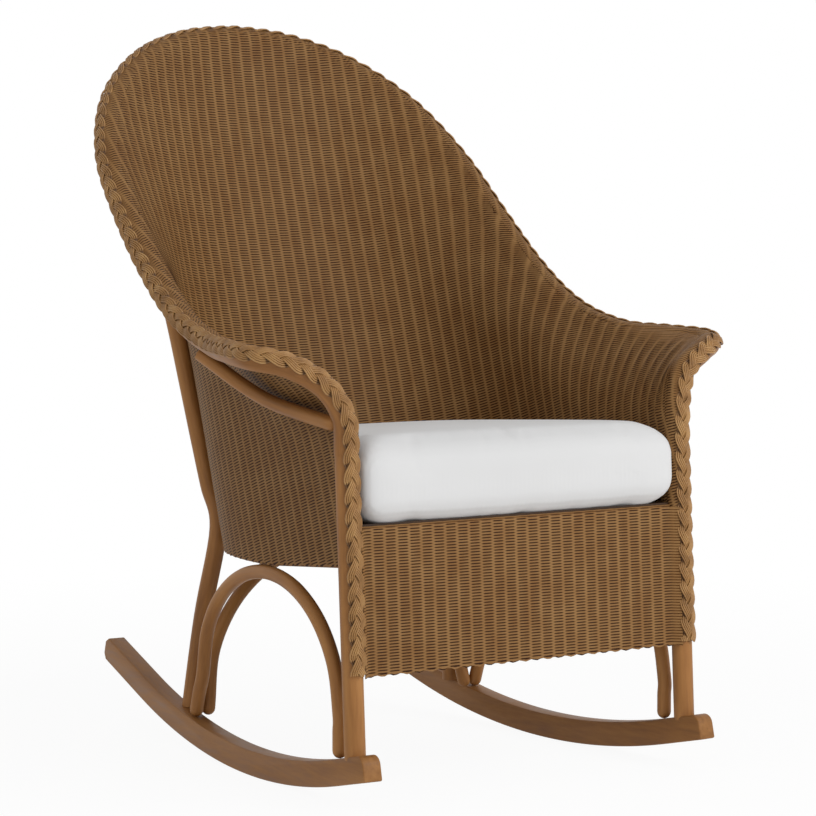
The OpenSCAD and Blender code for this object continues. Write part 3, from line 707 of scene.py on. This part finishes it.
def core_at(run):
    """Point, direction, braid side and bow step of the core line at a run."""
    z = braid_low + run * math.cos(post_slope)
    on_post = np.stack([0 * run - half_spacing, post_y(z), z], -1)
    step = np.interp(run - leg_length, bow_length, fine_bow)
    on_bow = (run > leg_length)[..., None]
    point = np.where(on_bow, bow_at(step), on_post)
    way = np.where(on_bow, bow_run(step), np.array([0, math.sin(post_slope), math.cos(post_slope)]))
    return point, way, square_to(spline_at(braid_facing, step), way), step


core_runs = np.arange(hem_height - braid_low - core_margin, total_run + 1, core_spacing)
core_line = core_at(core_runs)[0]


def nearest_run(points):
    """Run of the core line's point that lies nearest to each of the points."""
    apart = np.stack([np.linalg.norm(line[:, None] - core_line[None], axis=-1) for line in points])
    run = core_runs[np.argmin(apart, -1)]
    point, way, _, _ = core_at(run)
    return np.minimum(run + np.sum((points - point) * way, -1), total_run)


def angle_to(aim, start, way):
    """Angle from start to aim, turning as the cords do: from the sheet over the pole to the braid."""
    return np.arctan2(np.sum(aim * np.cross(start, way), -1), np.sum(aim * start, -1))


def turned_by(angles, start, across):
    return np.cos(angles)[..., None] * start + np.sin(angles)[..., None] * across


# Near the posts and the bow the sheet leaves its own line and runs without a step on to the inner
# side of the pole. Behind the front posts it is drawn in over a wider band. Its upper part settles
# like a stretched skin, and then the part within reach of a pole is laid on it again. It goes over
# a pole at over_radius, and its edge is tucked under the braid at tuck_radius.
over_radius, tuck_radius, wrap_tuck = 17.4, 16.2, math.radians(14)
drawn_width, settle_rounds, settle_from, settle_over = 130, 80, 0.6, 0.15

# Degrees round the pole from the middle of the braid to where the sheet first touches it, at the
# post, and how many more on the bow, from touch_over steps on.
touch_turn, touch_more, touch_over = 90, 17, 2.2


def touch_at(runs):
    """Core line at some runs, and the direction in which the sheet first touches the pole there."""
    core, way, facing, step = core_at(runs)
    turned = np.radians(touch_turn + touch_more * smooth(step / touch_over))
    return core, way, turned_by(turned, facing, np.cross(way, facing)), step


def first_lead(step):
    """Width of the band that bends to the pole: 10 mm at the post, 50 on the arm, 30 on the back."""
    return mix(10.0, 50.0, smooth(step / 1.8)) - 20 * smooth((step - 4) / 3)


def last_lead(step):
    """The same for the last lay, which only closes the part next to the pole."""
    return mix(8.0, 12.0, smooth(step / 2))


def lay_on_pole(sheet, lead_of_step):
    """Bend the sheet so that it meets the pole flat; gives its points, and the run, step and
    edge distance of each."""
    runs = nearest_run(sheet)
    core, way, touch_way, step = touch_at(runs)
    along_pole = np.sum((sheet - core) * way, -1, keepdims=True) * way
    spread = sheet - core - along_pole
    away = np.linalg.norm(spread, axis=-1)
    from_way = unit(spread)
    edge_runs = np.concatenate([runs[0], runs[1:, -1]])
    edge_away = np.concatenate([away[0], away[1:, -1]])
    in_order = np.argsort(edge_runs)
    away_at_edge = np.interp(runs, edge_runs[in_order], edge_away[in_order])
    lead = lead_of_step(step)
    left = np.clip((away - away_at_edge) / lead, 0, 1)
    closer = mix(over_radius, away_at_edge, smooth(left)) + lead * left**2 * (2 - left)
    turned = angle_to(touch_way, from_way, way) * (1 - left) ** 2
    spoke = turned_by(turned, from_way, np.cross(from_way, way))
    bent = core + along_pole + closer[..., None] * spoke
    return np.where((left < 1)[..., None], bent, sheet), runs, step, away - away_at_edge


def settle(sheet, rounds, stride=7):
    """Even out the upper part of the sheet between its fixed edges, on every seventh sample; the
    shift is then spread over all of them."""
    coarse = sheet[:, ::stride].copy()
    share = smooth((s_line[::stride] - settle_from) / settle_over)[None, 1:-1, None]
    for _ in range(rounds):
        whole = np.concatenate([coarse, coarse[-2:-1] * [-1, 1, 1]])
        beside = (whole[:-2, 1:-1] + whole[2:, 1:-1] + whole[1:-1, :-2] + whole[1:-1, 2:]) / 4
        coarse[1:, 1:-1] += (beside - coarse[1:, 1:-1]) * share
    shift = coarse - sheet[:, ::stride]
    places = np.arange(samples_up) / stride
    return sheet + np.stack([spline_at(column, places) for column in shift])


front_runs = nearest_run(curved[:1])[0]
front_core, front_way, front_touch, _ = touch_at(front_runs)
front_along = np.sum((curved[0] - front_core) * front_way, -1, keepdims=True) * front_way
drawn_in = front_core + front_along + front_touch * over_radius - curved[0]
curved = curved + drawn_in * (1 - smooth(column_runs / drawn_width))[:, None, None]
curved = settle(lay_on_pole(curved, first_lead)[0], settle_rounds)
curved, runs_near, steps_near, edge_distance = lay_on_pole(curved, last_lead)
outward_fine = unit(np.cross(np.gradient(curved, axis=1), np.gradient(curved, axis=0)))

# The stakes stay in their planes and the bow cuts them off, as on the real chair, so the measure
# round the shell counts how far the sheet has moved along itself, and not how far it flared out.
near_t = 0.002
near = plan_point(np.minimum(1, t_line + near_t)) - plan_point(np.maximum(0, t_line - near_t))
round_way = unit(near - (near @ stake_way)[:, None] * stake_way)
t_straight = side_length / (side_length + corner_length)
straight_foot = plan_point(np.array([t_straight]))[0]
drift = np.sum((curved - flat) * round_way[:, None], -1)
on_corner = np.interp(t_grid, fine_t, run_round)
on_wall = np.interp(t_straight, fine_t, run_round) + back_length(flat) - back_length(straight_foot)
round_plan = np.where(t_grid < t_straight, on_wall, on_corner) + drift - run_round[-1]
bulged = curved - drift[..., None] * round_way[:, None]
up_stake = flat @ stake_way + run_along(bulged) - run_along(flat)
up_stake = np.maximum.accumulate(up_stake, axis=1)

# Rows of the sheet lie at even steps up the stakes, so that one edge of the mesh runs along each
# cord, and the gaps with their painted shade close towards the poles, where the rows are packed tight.
first_row = math.floor(up_stake.min() / cord_pitch)
wanted = np.arange(first_row, math.ceil(up_stake.max() / cord_pitch) + 1) * cord_pitch
wrap_rows, hem_scallop, wrap_beyond = 11, 2.5, 25.0

# Widths in mm, at the post, on the arm and on the back: where the rows stay closed, where they
# open, and what share of the wrapped part counts as open sheet.
closed_for, opens_over, wrap_counts = (2.0, 4.0, 0.0), (7.0, 24.0, 10.0), (1.0, 0.0, 0.5)
arm_from, arm_over, back_from, back_over = 0.6, 2.4, 4.5, 2.0


def openness_at(step, from_edge, wrapped):
    """How far the rows stand apart, from 0 where they are packed tight to 1."""
    on_arm, on_back = smooth((step - arm_from) / arm_over), smooth((step - back_from) / back_over)
    closed, opening, counts = [mix(post, mix(arm, back, on_back), on_arm)
                               for post, arm, back in (closed_for, opens_over, wrap_counts)]
    return smooth((from_edge + wrapped * counts - closed) / opening)


def wrap_round(start, run, u_edge, w_edge, evened=7):
    """Rows from the edge of the sheet round the pole to the braid, with their outward direction,
    weave measure, openness and distance from the edge. The edge's own direction in the measure is
    evened out over seven of its points."""
    core, way, facing, step = core_at(run)
    from_way = square_to(start - core, way)
    share = np.arange(wrap_rows + 1) / wrap_rows
    angles = (angle_to(facing, from_way, way) - wrap_tuck)[:, None] * share
    spoke = turned_by(angles, from_way[:, None], np.cross(from_way, way)[:, None])
    away = mix(np.linalg.norm(start - core, axis=-1)[:, None], tuck_radius, share)
    along = np.sum((start - core) * way, -1)[:, None, None] * way[:, None] * (1 - share[None, :, None])
    points = core[:, None] + away[..., None] * spoke + along
    u_rise, w_rise = [np.convolve(np.pad(np.gradient(edge), evened // 2, "edge"),
                                  np.ones(evened) / evened, "valid") for edge in (u_edge, w_edge)]
    rise = np.maximum(np.hypot(u_rise, w_rise), 1e-9)
    arc = angles * over_radius
    u = u_edge[:, None] - (w_rise / rise)[:, None] * arc
    w = w_edge[:, None] + (u_rise / rise)[:, None] * arc
    opened = openness_at(step[:, None], 0 * arc, arc[:, -1:] - arc)
    return points, -spoke, u, w, opened, arc


def pick(values, held, measure):
    """Vectors along a stake, read off where its measure has the held values."""
    return np.stack([np.interp(held, measure, column) for column in values.T], -1)


rows = len(wanted) + wrap_rows
shell_points, shell_outward = np.zeros((2, columns_half + 1, rows, 3))
shell_weave = np.zeros((columns_half + 1, rows, 2))
shell_open, shell_held = np.zeros((2, columns_half + 1, rows))
over_points, over_out, over_u, over_w, over_open, over_arc = wrap_round(
    curved[:, -1], runs_near[:, -1], round_plan[:, -1], up_stake[:, -1])
for j in range(columns_half + 1):
    measure = up_stake[j]
    held = np.clip(wanted, measure[0], measure[-1])
    spots = pick(curved[j], held, measure)
    scallop = hem_scallop * math.cos(math.pi * (round_plan[j, 0] / stake_pitch + 0.5)) ** 2
    spots[held <= measure[0] + 0.01] -= stake_way * scallop
    shell_points[j] = np.concatenate([spots, over_points[j, 1:]])
    shell_outward[j] = np.concatenate([unit(pick(outward_fine[j], held, measure)), over_out[j, 1:]])
    u_row, step_row, gap_row = [np.interp(held, measure, values[j])
                                for values in (round_plan, steps_near, edge_distance)]
    shell_weave[j, :, 0] = np.concatenate([u_row, over_u[j, 1:]]) / stake_pitch + 0.5
    shell_weave[j, :, 1] = np.concatenate([held, over_w[j, 1:]]) / (2 * cord_pitch)
    shell_open[j] = np.concatenate([openness_at(step_row, gap_row, wrap_beyond), over_open[j, 1:]])
    shell_held[j] = np.concatenate([held, held[-1] + over_arc[j, 1:]])


def sheet_piece(name, node, points, outward, weave, openness, held):
    """A closed sheet of weave: two faces half the thickness to each side of the points, joined
    all round the edge. Where rows fall together, at the hem and the edges, no face is made."""
    columns, count = points.shape[:2]
    size = columns * count
    faces = grid_faces(columns, count)
    a, b, c, d = held.ravel()[faces].T
    faces = faces[(np.abs(a - d) > 0.01) | (np.abs(b - c) > 0.01)]
    low = np.arange(columns) * count
    first, high, last = np.arange(count), low + count - 1, size - count + np.arange(count)
    edges = np.concatenate([np.stack(pair, -1) for pair in (
        (low[1:], low[:-1]), (high[:-1], high[1:]), (first[:-1], first[1:]), (last[1:], last[:-1]))])
    strips = np.concatenate([edges, edges[:, ::-1] + size], -1)
    both = np.concatenate([faces, faces[:, ::-1] + size, strips])
    half = outward * sheet_thick / 2
    spots = np.concatenate([points + half, points - half]).reshape(-1, 3)

    def doubled(values):
        return np.concatenate([values.reshape(size, -1)] * 2)

    piece = plain_mesh(name, spots, both.tolist(), doubled(weave), [
        ("openness", "FLOAT", doubled(openness)), ("outward", "FLOAT_VECTOR", doubled(outward))])
    merge_close(piece)
    piece.data.set_sharp_from_angle(angle=math.radians(60))
    piece.data.materials.append(weave_finish)
    use_tree(piece, relief, cord_relief=weave_relief / 1000, finish=weave_finish)
    put_on(piece, node, "chair")


mirror = np.array([-1.0, 1.0, 1.0])
mirrored_weave = np.stack([1 - shell_weave[..., 0], shell_weave[..., 1]], -1)
both_sides = [np.concatenate([left, right[-2::-1]]) for left, right in (
    (shell_points, shell_points * mirror), (shell_outward, shell_outward * mirror),
    (shell_weave, mirrored_weave), (shell_open, shell_open), (shell_held, shell_held))]
last_column, wing_end, corner_end = 2 * columns_half, 52, 92
cuts = [0, wing_end, corner_end, last_column - corner_end, last_column - wing_end, last_column]
parts = ("left_wing", "left_corner", "back", "right_corner", "right_wing")
for part, first, last in zip(parts, cuts, cuts[1:]):
    chosen = [values[first:last + 1] for values in both_sides]
    sheet_piece("weave_" + part, "woven_shell" if part == "back" else None, *chosen)

# Edge wrap. Beside the front posts and under the arms' front bend the same cords are brought
# round the pole, and bound down where the border braid covers their ends.
edge_points, edge_held = shell_points[0, :len(wanted)], shell_held[0, :len(wanted)]
different = np.concatenate([[True], np.diff(edge_held) > 0.01])
edge_points, edge_held = edge_points[different], edge_held[different]
edge_u = np.interp(edge_held, up_stake[0], round_plan[0])
strip_points, strip_out, strip_u, strip_w, strip_open, strip_arc = wrap_round(
    edge_points, nearest_run(edge_points[None])[0], edge_u, edge_held)
strip_u, strip_w = strip_u / stake_pitch + 0.5, strip_w / (2 * cord_pitch)
for side, flip, u_here in (("left", 1, strip_u), ("right", -1, 1 - strip_u)):
    strip = (strip_points * [flip, 1, 1], strip_out * [flip, 1, 1], np.stack([u_here, strip_w], -1),
             strip_open, strip_arc)
    sheet_piece("edge_wrap_" + side, None, *[values[::flip] for values in strip])

# Apron. A panel of the same weave between the front posts. Its upper edge is folded back over
# the seat rail, its sides are turned over the posts, and its lower edge ends in small loops.
apron_half, apron_high, apron_forward, apron_columns = 265.2, 373.0, 4.0, 104
fold_radius, fold_back, fold_open = 2.5, 12, 2.0
side_over, side_from, side_across, side_back = 4.0, 256.0, 13.0, 11.0
apron_rise = apron_high - fold_radius - braid_low
flat_rows = math.ceil(apron_rise / cord_pitch) + 1
apron_z = braid_low + np.minimum(np.arange(flat_rows) * cord_pitch, apron_rise)
line = np.stack([post_y(apron_z) - apron_forward, apron_z], -1)
bend = np.radians(np.arange(15, 91, 15))
fold = line[-1] + fold_radius * np.stack([1 - np.cos(bend), np.sin(bend)], -1)
flat_back = fold[-1] + np.stack([np.arange(2, fold_back + 1, 2), np.zeros(fold_back // 2)], -1)
line = np.concatenate([line, fold, flat_back])
run = run_along(line)
apron_x = np.linspace(-apron_half - side_over, apron_half + side_over, apron_columns + 1)
x_grid, run_grid = np.meshgrid(apron_x, run, indexing="ij")
apron_points = np.stack([x_grid, 0 * x_grid + line[:, 0], 0 * x_grid + line[:, 1]], -1)
apron_points[:, :flat_rows, 1] -= side_back * smooth((np.abs(apron_x) - side_from) / side_across)[:, None]
apron_points[:, 0, 2] -= hem_scallop * np.cos(np.pi * apron_x / stake_pitch) ** 2
apron_weave = np.stack([x_grid / stake_pitch, run_grid / (2 * cord_pitch)], -1)
apron_open = smooth((run[flat_rows - 1] + fold_open - run_grid) / 2)
apron_open *= smooth((apron_half - 2 - np.abs(x_grid)) / 6)
line_way = unit(np.gradient(line, axis=0))
apron_outward = np.stack([0 * run, -line_way[:, 1], line_way[:, 0]], -1) + 0 * apron_points
sheet_piece("weave_apron", "front_apron", apron_points, apron_outward, apron_weave, apron_open, run_grid)

# Border braid. Three strands of four cords each, plaited flat and nailed along the left post,
# the bow and the right post, where it hides the ends of the wrapped cords.
braid_cycle, cord_radius, strand_lift = 78.0, 1.3, 3.5
cord_places = (-3.75, -1.25, 1.25, 3.75)
braid_step, strands = 4.5, 3


def eased_along(values, count):
    """Vectors along a line, each made the mean of its count nearest."""
    padded = np.pad(values, ((count // 2, count // 2), (0, 0)), "edge")
    return np.stack([np.convolve(column, np.ones(count) / count, "valid") for column in padded.T], -1)


braid_run = np.linspace(0, total_run, int(total_run / braid_step) + 1)
core, way, facing, _ = core_at(braid_run)
braid_points = core + facing * (bow_radius + fix_gap + strand_lift)
braid_points = eased_along(np.concatenate([braid_points, braid_points[-2::-1] * mirror]), 7)
braid_way = unit(np.gradient(braid_points, axis=0))
braid_out = square_to(eased_along(np.concatenate([facing, facing[-2::-1] * mirror]), 9), braid_way)
braid_side = np.cross(braid_way, braid_out)
from_foot = run_along(braid_points)
from_middle = from_foot - from_foot[-1] / 2
ring_count = len(braid_points)


# Plait: each cord sways across the path once in a cycle and rises twice, over one strand and
# under the next. Its four cords lie side by side, square to the way in which the strand runs, and
# the whole plait bends down at its sides round the pole.
def braid_tree():
    tree, given = start_tree("three_strand_plait", {
        "cycle": 0.078, "half_width": 0.0082, "rise": 0.0021, "round_pole": 0.0188, "cord_radius": 0.0013})
    run, strand, place, side, out, way = [
        add_node(tree, "GeometryNodeInputNamedAttribute", {"Name": name}, data_type=kind).outputs[0]
        for name, kind in (("run", "FLOAT"), ("strand", "FLOAT"), ("place", "FLOAT"),
                           ("side", "FLOAT_VECTOR"), ("out", "FLOAT_VECTOR"), ("way", "FLOAT_VECTOR"))]
    turns = add_node(tree, "ShaderNodeMath", {0: run, 1: given["cycle"]}, operation="DIVIDE").outputs[0]
    begun = add_node(tree, "ShaderNodeMath", {0: turns, 1: strand}, operation="ADD").outputs[0]
    phase = add_node(tree, "ShaderNodeMath", {0: begun, 1: 2 * math.pi}, operation="MULTIPLY").outputs[0]
    sway, lead = [add_node(tree, "ShaderNodeMath", {0: phase}, operation=kind).outputs[0]
                  for kind in ("SINE", "COSINE")]
    twice = add_node(tree, "ShaderNodeMath", {0: sway, 1: lead}, operation="MULTIPLY").outputs[0]
    over = add_node(tree, "ShaderNodeMath", {0: twice, 1: -2.0}, operation="MULTIPLY").outputs[0]
    aside = add_node(tree, "ShaderNodeMath", {0: sway, 1: given["half_width"]},
                     operation="MULTIPLY").outputs[0]
    slope = add_node(tree, "ShaderNodeMath", {0: given["half_width"], 1: given["cycle"]},
                     operation="DIVIDE").outputs[0]
    steep = add_node(tree, "ShaderNodeMath", {0: slope, 1: 2 * math.pi}, operation="MULTIPLY").outputs[0]
    lean = add_node(tree, "ShaderNodeMath", {0: steep, 1: lead}, operation="MULTIPLY").outputs[0]
    angle = add_node(tree, "ShaderNodeMath", {0: lean}, operation="ARCTANGENT").outputs[0]
    sine, cosine = [add_node(tree, "ShaderNodeMath", {0: angle}, operation=kind).outputs[0]
                    for kind in ("SINE", "COSINE")]
    sideways = add_node(tree, "ShaderNodeMath", {0: place, 1: cosine, 2: aside},
                        operation="MULTIPLY_ADD").outputs[0]
    squared = add_node(tree, "ShaderNodeMath", {0: sideways, 1: sideways}, operation="MULTIPLY").outputs[0]
    halved = add_node(tree, "ShaderNodeMath", {0: squared, 1: -0.5}, operation="MULTIPLY").outputs[0]
    bowed = add_node(tree, "ShaderNodeMath", {0: halved, 1: given["round_pole"]},
                     operation="DIVIDE").outputs[0]
    up = add_node(tree, "ShaderNodeMath", {0: over, 1: given["rise"], 2: bowed},
                  operation="MULTIPLY_ADD").outputs[0]
    backward = add_node(tree, "ShaderNodeMath", {0: place, 1: sine}, operation="MULTIPLY").outputs[0]
    forward = add_node(tree, "ShaderNodeMath", {0: backward, 1: -1.0}, operation="MULTIPLY").outputs[0]
    moved = given["Geometry"]
    for aim, amount in ((side, sideways), (out, up), (way, forward)):
        offset = add_node(tree, "ShaderNodeVectorMath", {0: aim, "Scale": amount}, operation="SCALE")
        moved = add_node(tree, "GeometryNodeSetPosition", {"Geometry": moved,
                                                           "Offset": offset.outputs[0]}).outputs[0]
    marked = add_node(tree, "GeometryNodeStoreNamedAttribute",
                      {"Geometry": moved, "Name": "over", "Value": over}, data_type="FLOAT", domain="POINT")
    lines = add_node(tree, "GeometryNodeMeshToCurve", {"Mesh": marked.outputs[0]})
    ring = add_node(tree, "GeometryNodeCurvePrimitiveCircle", {"Resolution": 6,
                                                               "Radius": given["cord_radius"]})
    cords = add_node(tree, "GeometryNodeCurveToMesh", {
        "Curve": lines.outputs[0], "Profile Curve": ring.outputs[0], "Fill Caps": True})
    return end_tree(tree, cords, given)


# Plaited paper cord, lacquered: the eye sees single cords with a soft gloss, some lighter where
# hands have rubbed them, and painted shade, a darker tone where the strands dive under each other.
def plaited_cord(name, stops, shade):
    material, tree, shader = bare_material(name)
    place = add_node(tree, "ShaderNodeTexCoord").outputs["Object"]
    cloud = add_node(tree, "ShaderNodeTexNoise", {"Vector": place, "Scale": 45.0, "Detail": 3.0})
    over = add_node(tree, "ShaderNodeAttribute", attribute_name="over").outputs["Fac"]
    # Painted shade: the strands darken where they dive lowest under the others.
    painted_dive_shade = add_node(tree, "ShaderNodeMapRange", {"Value": over, "From Min": -0.7, "From Max": -1.05},
                     interpolation_type="SMOOTHSTEP").outputs["Result"]
    cord = shade_between(tree, cloud.outputs["Fac"], stops)
    colour = add_node(tree, "ShaderNodeMix", {"Factor": painted_dive_shade, "A": cord, "B": linear(shade)},
                      data_type="RGBA").outputs["Result"]
    fibres = add_node(tree, "ShaderNodeTexNoise", {"Vector": place, "Scale": 700.0, "Detail": 2.0})
    bump = add_node(tree, "ShaderNodeBump", {"Strength": 0.3, "Distance": 0.0004,
                                             "Height": fibres.outputs["Fac"]}).outputs["Normal"]
    set_inputs(tree, shader, {"Base Color": colour, "Normal": bump, "Roughness": 0.5, "IOR": 1.45})
    return material


# The last colour is the painted shade of the diving strands.
braid_finish = plaited_cord("paper_cord_plaited_lacquered_painted_shade",
                            [(0.3, "#8a6337"), (0.5, "#a17746"), (0.7, "#b28955")], "#4a2a0c")
cords = len(cord_places) * strands
strand_of = np.repeat(np.arange(strands) / strands, len(cord_places) * ring_count)
place_of = np.tile(np.repeat(cord_places, ring_count), strands)
links = np.stack([np.arange(ring_count - 1), np.arange(1, ring_count)], -1)
braid = plain_mesh(
    "border_plait", np.tile(braid_points, (cords, 1)), [],
    fields=[("run", "FLOAT", np.tile(from_middle, cords) / 1000), ("strand", "FLOAT", strand_of),
            ("place", "FLOAT", place_of / 1000), ("side", "FLOAT_VECTOR", np.tile(braid_side, (cords, 1))),
            ("out", "FLOAT_VECTOR", np.tile(braid_out, (cords, 1))),
            ("way", "FLOAT_VECTOR", np.tile(braid_way, (cords, 1)))],
    edges=np.concatenate([links + cord * ring_count for cord in range(cords)]).tolist())
use_tree(braid, braid_tree(), cycle=braid_cycle / 1000, cord_radius=cord_radius / 1000, finish=braid_finish)
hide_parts("border_braid")
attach(braid, "chair")

# Seat cushion. A foam block in an off-white canvas cover lies loose on the deck between the
# woven sides. It fills the width, its edges are soft, and its front hangs over the apron's fold.
cushion_thick, cushion_crown, cushion_half = 111.0, 11.0, 271.0
cushion_front, back_clear, start_inset, deck_clear = -32.0, 14.0, 3.0, 0.3
widest_ahead, rear_power, front_power, around = 20.0, 2.6, 26, 72
edge_top, edge_under, side_z = 36.0, 34.0, 60.0
seat_slope, seat_front_z = math.radians(3.5), 377
rail_front_y = float(post_y(seat_front_z)) - apron_forward + fold_radius + fix_gap
deck_length = back_line - sheet_half_thick - fix_gap - rail_front_y
deck_rear_z = seat_front_z - deck_length * math.tan(seat_slope)
cushion_rear = deck_length + (deck_rear_z - hem_height) * rake - back_clear
cushion_mid = (cushion_rear + cushion_front) / 2 - widest_ahead
turn = (np.arange(around) + 0.5) / around * 2 * math.pi
behind = np.sin(turn) > 0
power = 2 / np.where(behind, rear_power, front_power)
reach = np.where(behind, cushion_rear - cushion_mid, cushion_mid - cushion_front)
outline = np.stack([cushion_half * np.sign(np.cos(turn)) * np.abs(np.cos(turn)) ** power,
                    reach * np.sign(np.sin(turn)) * np.abs(np.sin(turn)) ** power], -1)

# Its section from the lower edge up, as distances in from the outline and heights.
profile = [(edge_under * (1 - math.sin(a)), edge_under * (1 - math.cos(a)))
           for a in np.radians([0, 22.5, 45, 67.5, 90])]
profile += [(0, side_z)]
profile += [(edge_top * (1 - math.cos(a)), cushion_thick - edge_top * (1 - math.sin(a)))
            for a in np.radians([0, 15, 30, 45, 60, 75])]
profile += [(cushion_half * (1 - part), cushion_thick + cushion_crown * (1 - part * part))
            for part in (0.84, 0.7, 0.5, 0.3, 0.1)]
rings = []
for inset, height in profile:
    ring = outline * (1 - (inset + start_inset) / cushion_half) + [0, cushion_mid]
    ring_z = height * (cushion_thick - start_inset) / cushion_thick + deck_clear
    rings.append(np.column_stack([ring, np.full(around, ring_z)]))
tilt = np.array([[1, 0, 0], [0, math.cos(seat_slope), -math.sin(seat_slope)],
                 [0, math.sin(seat_slope), math.cos(seat_slope)]])
cushion_points = np.concatenate(rings) @ tilt + [0, rail_front_y, seat_front_z]
faces = [[i * around + k, i * around + (k + 1) % around, (i + 1) * around + (k + 1) % around,
          (i + 1) * around + k] for i in range(len(rings) - 1) for k in range(around)]
caps = [list(range(around))[::-1], [(len(rings) - 1) * around + k for k in range(around)]]
cushion = plain_mesh("canvas_cushion", cushion_points, faces + caps)


# Woven canvas of polyester: the eye sees a plain matt off-white with a faint grid of threads and
# hardly any gloss. The threads are drawn at 1.2 mm, three times too coarse, so that they show.
def canvas_cloth(name, stops, thread_mm=1.2):
    material, tree, shader = bare_material(name)
    place = add_node(tree, "ShaderNodeTexCoord").outputs["Object"]
    threads, picks = [
        add_node(tree, "ShaderNodeTexWave", {"Vector": place, "Scale": 1000 / thread_mm / 20,
                                             "Distortion": 0.6, "Detail": 1.0},
                 bands_direction=across).outputs["Fac"] for across in ("X", "Y")]
    both = add_node(tree, "ShaderNodeMath", {0: threads, 1: picks}, operation="MULTIPLY").outputs[0]
    bump = add_node(tree, "ShaderNodeBump", {"Strength": 0.15, "Distance": 0.0003, "Height": both})
    cloud = add_node(tree, "ShaderNodeTexNoise", {"Vector": place, "Scale": 6.0, "Detail": 2.0})
    set_inputs(tree, shader, {"Base Color": shade_between(tree, cloud.outputs["Fac"], stops),
                              "Normal": bump.outputs["Normal"], "Roughness": 0.85, "Sheen Weight": 0.1})
    return material


def places_of(mesh):
    places = np.zeros(len(mesh.vertices) * 3)
    mesh.vertices.foreach_get("co", places)
    return places.reshape(-1, 3)


voxel, cloth_frames, most_push = 0.006, 20, 0.007
cushion.data.materials.append(canvas_cloth("polyester_canvas_woven", [(0.3, "#d6d6d6"), (0.7, "#dadada")]))
skin = cushion.modifiers.new("even_skin", "REMESH")
skin.mode = "VOXEL"
skin.voxel_size = voxel
run_modifiers(cushion)
start = places_of(cushion.data)
cloth = cushion.modifiers.new("filled_cover", "CLOTH")
cloth.settings.use_pressure = True
cloth.settings.uniform_pressure_force = 4
cloth.settings.effector_weights.gravity = 0
for number in range(1, cloth_frames + 1):
    bpy.context.scene.frame_set(number)
run_modifiers(cushion)
push = places_of(cushion.data) - start
far = np.linalg.norm(push, axis=1, keepdims=True)
filled = start + push * np.minimum(1, most_push / np.maximum(far, 1e-9))
cushion.data.vertices.foreach_set("co", filled.ravel())
cushion.data.update()
bpy.context.scene.frame_set(1)
softer = cushion.modifiers.new("soft_surface", "SUBSURF")
softer.levels = softer.render_levels = 1
run_modifiers(cushion)
cushion.data.polygons.foreach_set("use_smooth", [True] * len(cushion.data.polygons))
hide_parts("seat_cushion")
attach(cushion, "cushion")

# Floor and studio light. A white floor runs back into a white surround. One broad lamp stands in
# front and a little to the right, higher than the camera, and the room gives the rest.
floor_half, shadow_from, shadow_to, floor_near, room_light = 14000, 0.9, 2.2, 0.93, 0.58
floor = plain_mesh("studio_floor", [[-floor_half, -floor_half, 0], [floor_half, -floor_half, 0],
                                    [floor_half, floor_half, 0], [-floor_half, floor_half, 0]],
                   [[0, 1, 2, 3]])
paper, tree, shader = bare_material("white_floor_paper_matt")
set_inputs(tree, shader, {"Base Color": linear("#fafafa"), "Roughness": 0.9})


def looked_at(tree):
    """1 for a ray that comes from the camera, straight or by way of a glossy or clear surface."""
    rays = add_node(tree, "ShaderNodeLightPath").outputs
    seen = rays["Is Camera Ray"]
    for other in ("Is Glossy Ray", "Is Transmission Ray"):
        seen = add_node(tree, "ShaderNodeMath", {0: seen, 1: rays[other]}, operation="MAXIMUM").outputs[0]
    return seen


place = add_node(tree, "ShaderNodeTexCoord").outputs["Object"]
away = add_node(tree, "ShaderNodeVectorMath", {0: place}, operation="LENGTH").outputs["Value"]
whiter = add_node(tree, "ShaderNodeMapRange", {
    "Value": away, "From Min": shadow_from, "From Max": shadow_to, "To Min": floor_near, "To Max": 1.0})
share = add_node(tree, "ShaderNodeMath", {0: looked_at(tree), 1: whiter.outputs["Result"]},
                 operation="MULTIPLY").outputs[0]
white = add_node(tree, "ShaderNodeEmission", {"Color": (1, 1, 1, 1), "Strength": 1.0}).outputs[0]
blend = add_node(tree, "ShaderNodeMixShader", {0: share, 1: shader.outputs[0], 2: white})
tree.links.new(blend.outputs[0], tree.nodes["Material Output"].inputs["Surface"])
floor.data.materials.append(paper)

world = bpy.data.worlds.new("studio_room")
bpy.context.scene.world = world
world.use_nodes = True
tree = world.node_tree
light = add_node(tree, "ShaderNodeMapRange", {"Value": looked_at(tree), "To Min": room_light, "To Max": 1.0})
set_inputs(tree, tree.nodes["Background"], {"Color": (1, 1, 1, 1), "Strength": light.outputs["Result"]})

lamp_wide, lamp_high, lamp_watts = 2.6, 2.0, 66
lamp_place, lamp_aim = Vector((1.0, -3.3, 2.1)), Vector((0, 0, 0.5))
lamp = bpy.data.objects.new("broad_lamp", bpy.data.lights.new("broad_lamp", "AREA"))
lamp.data.shape = "RECTANGLE"
lamp.data.size, lamp.data.size_y = lamp_wide, lamp_high
lamp.data.energy = lamp_watts
lamp.location = lamp_place
lamp.rotation_mode = "QUATERNION"
lamp.rotation_quaternion = (lamp_place - lamp_aim).to_track_quat("Z", "Y")
bpy.context.scene.collection.objects.link(lamp)
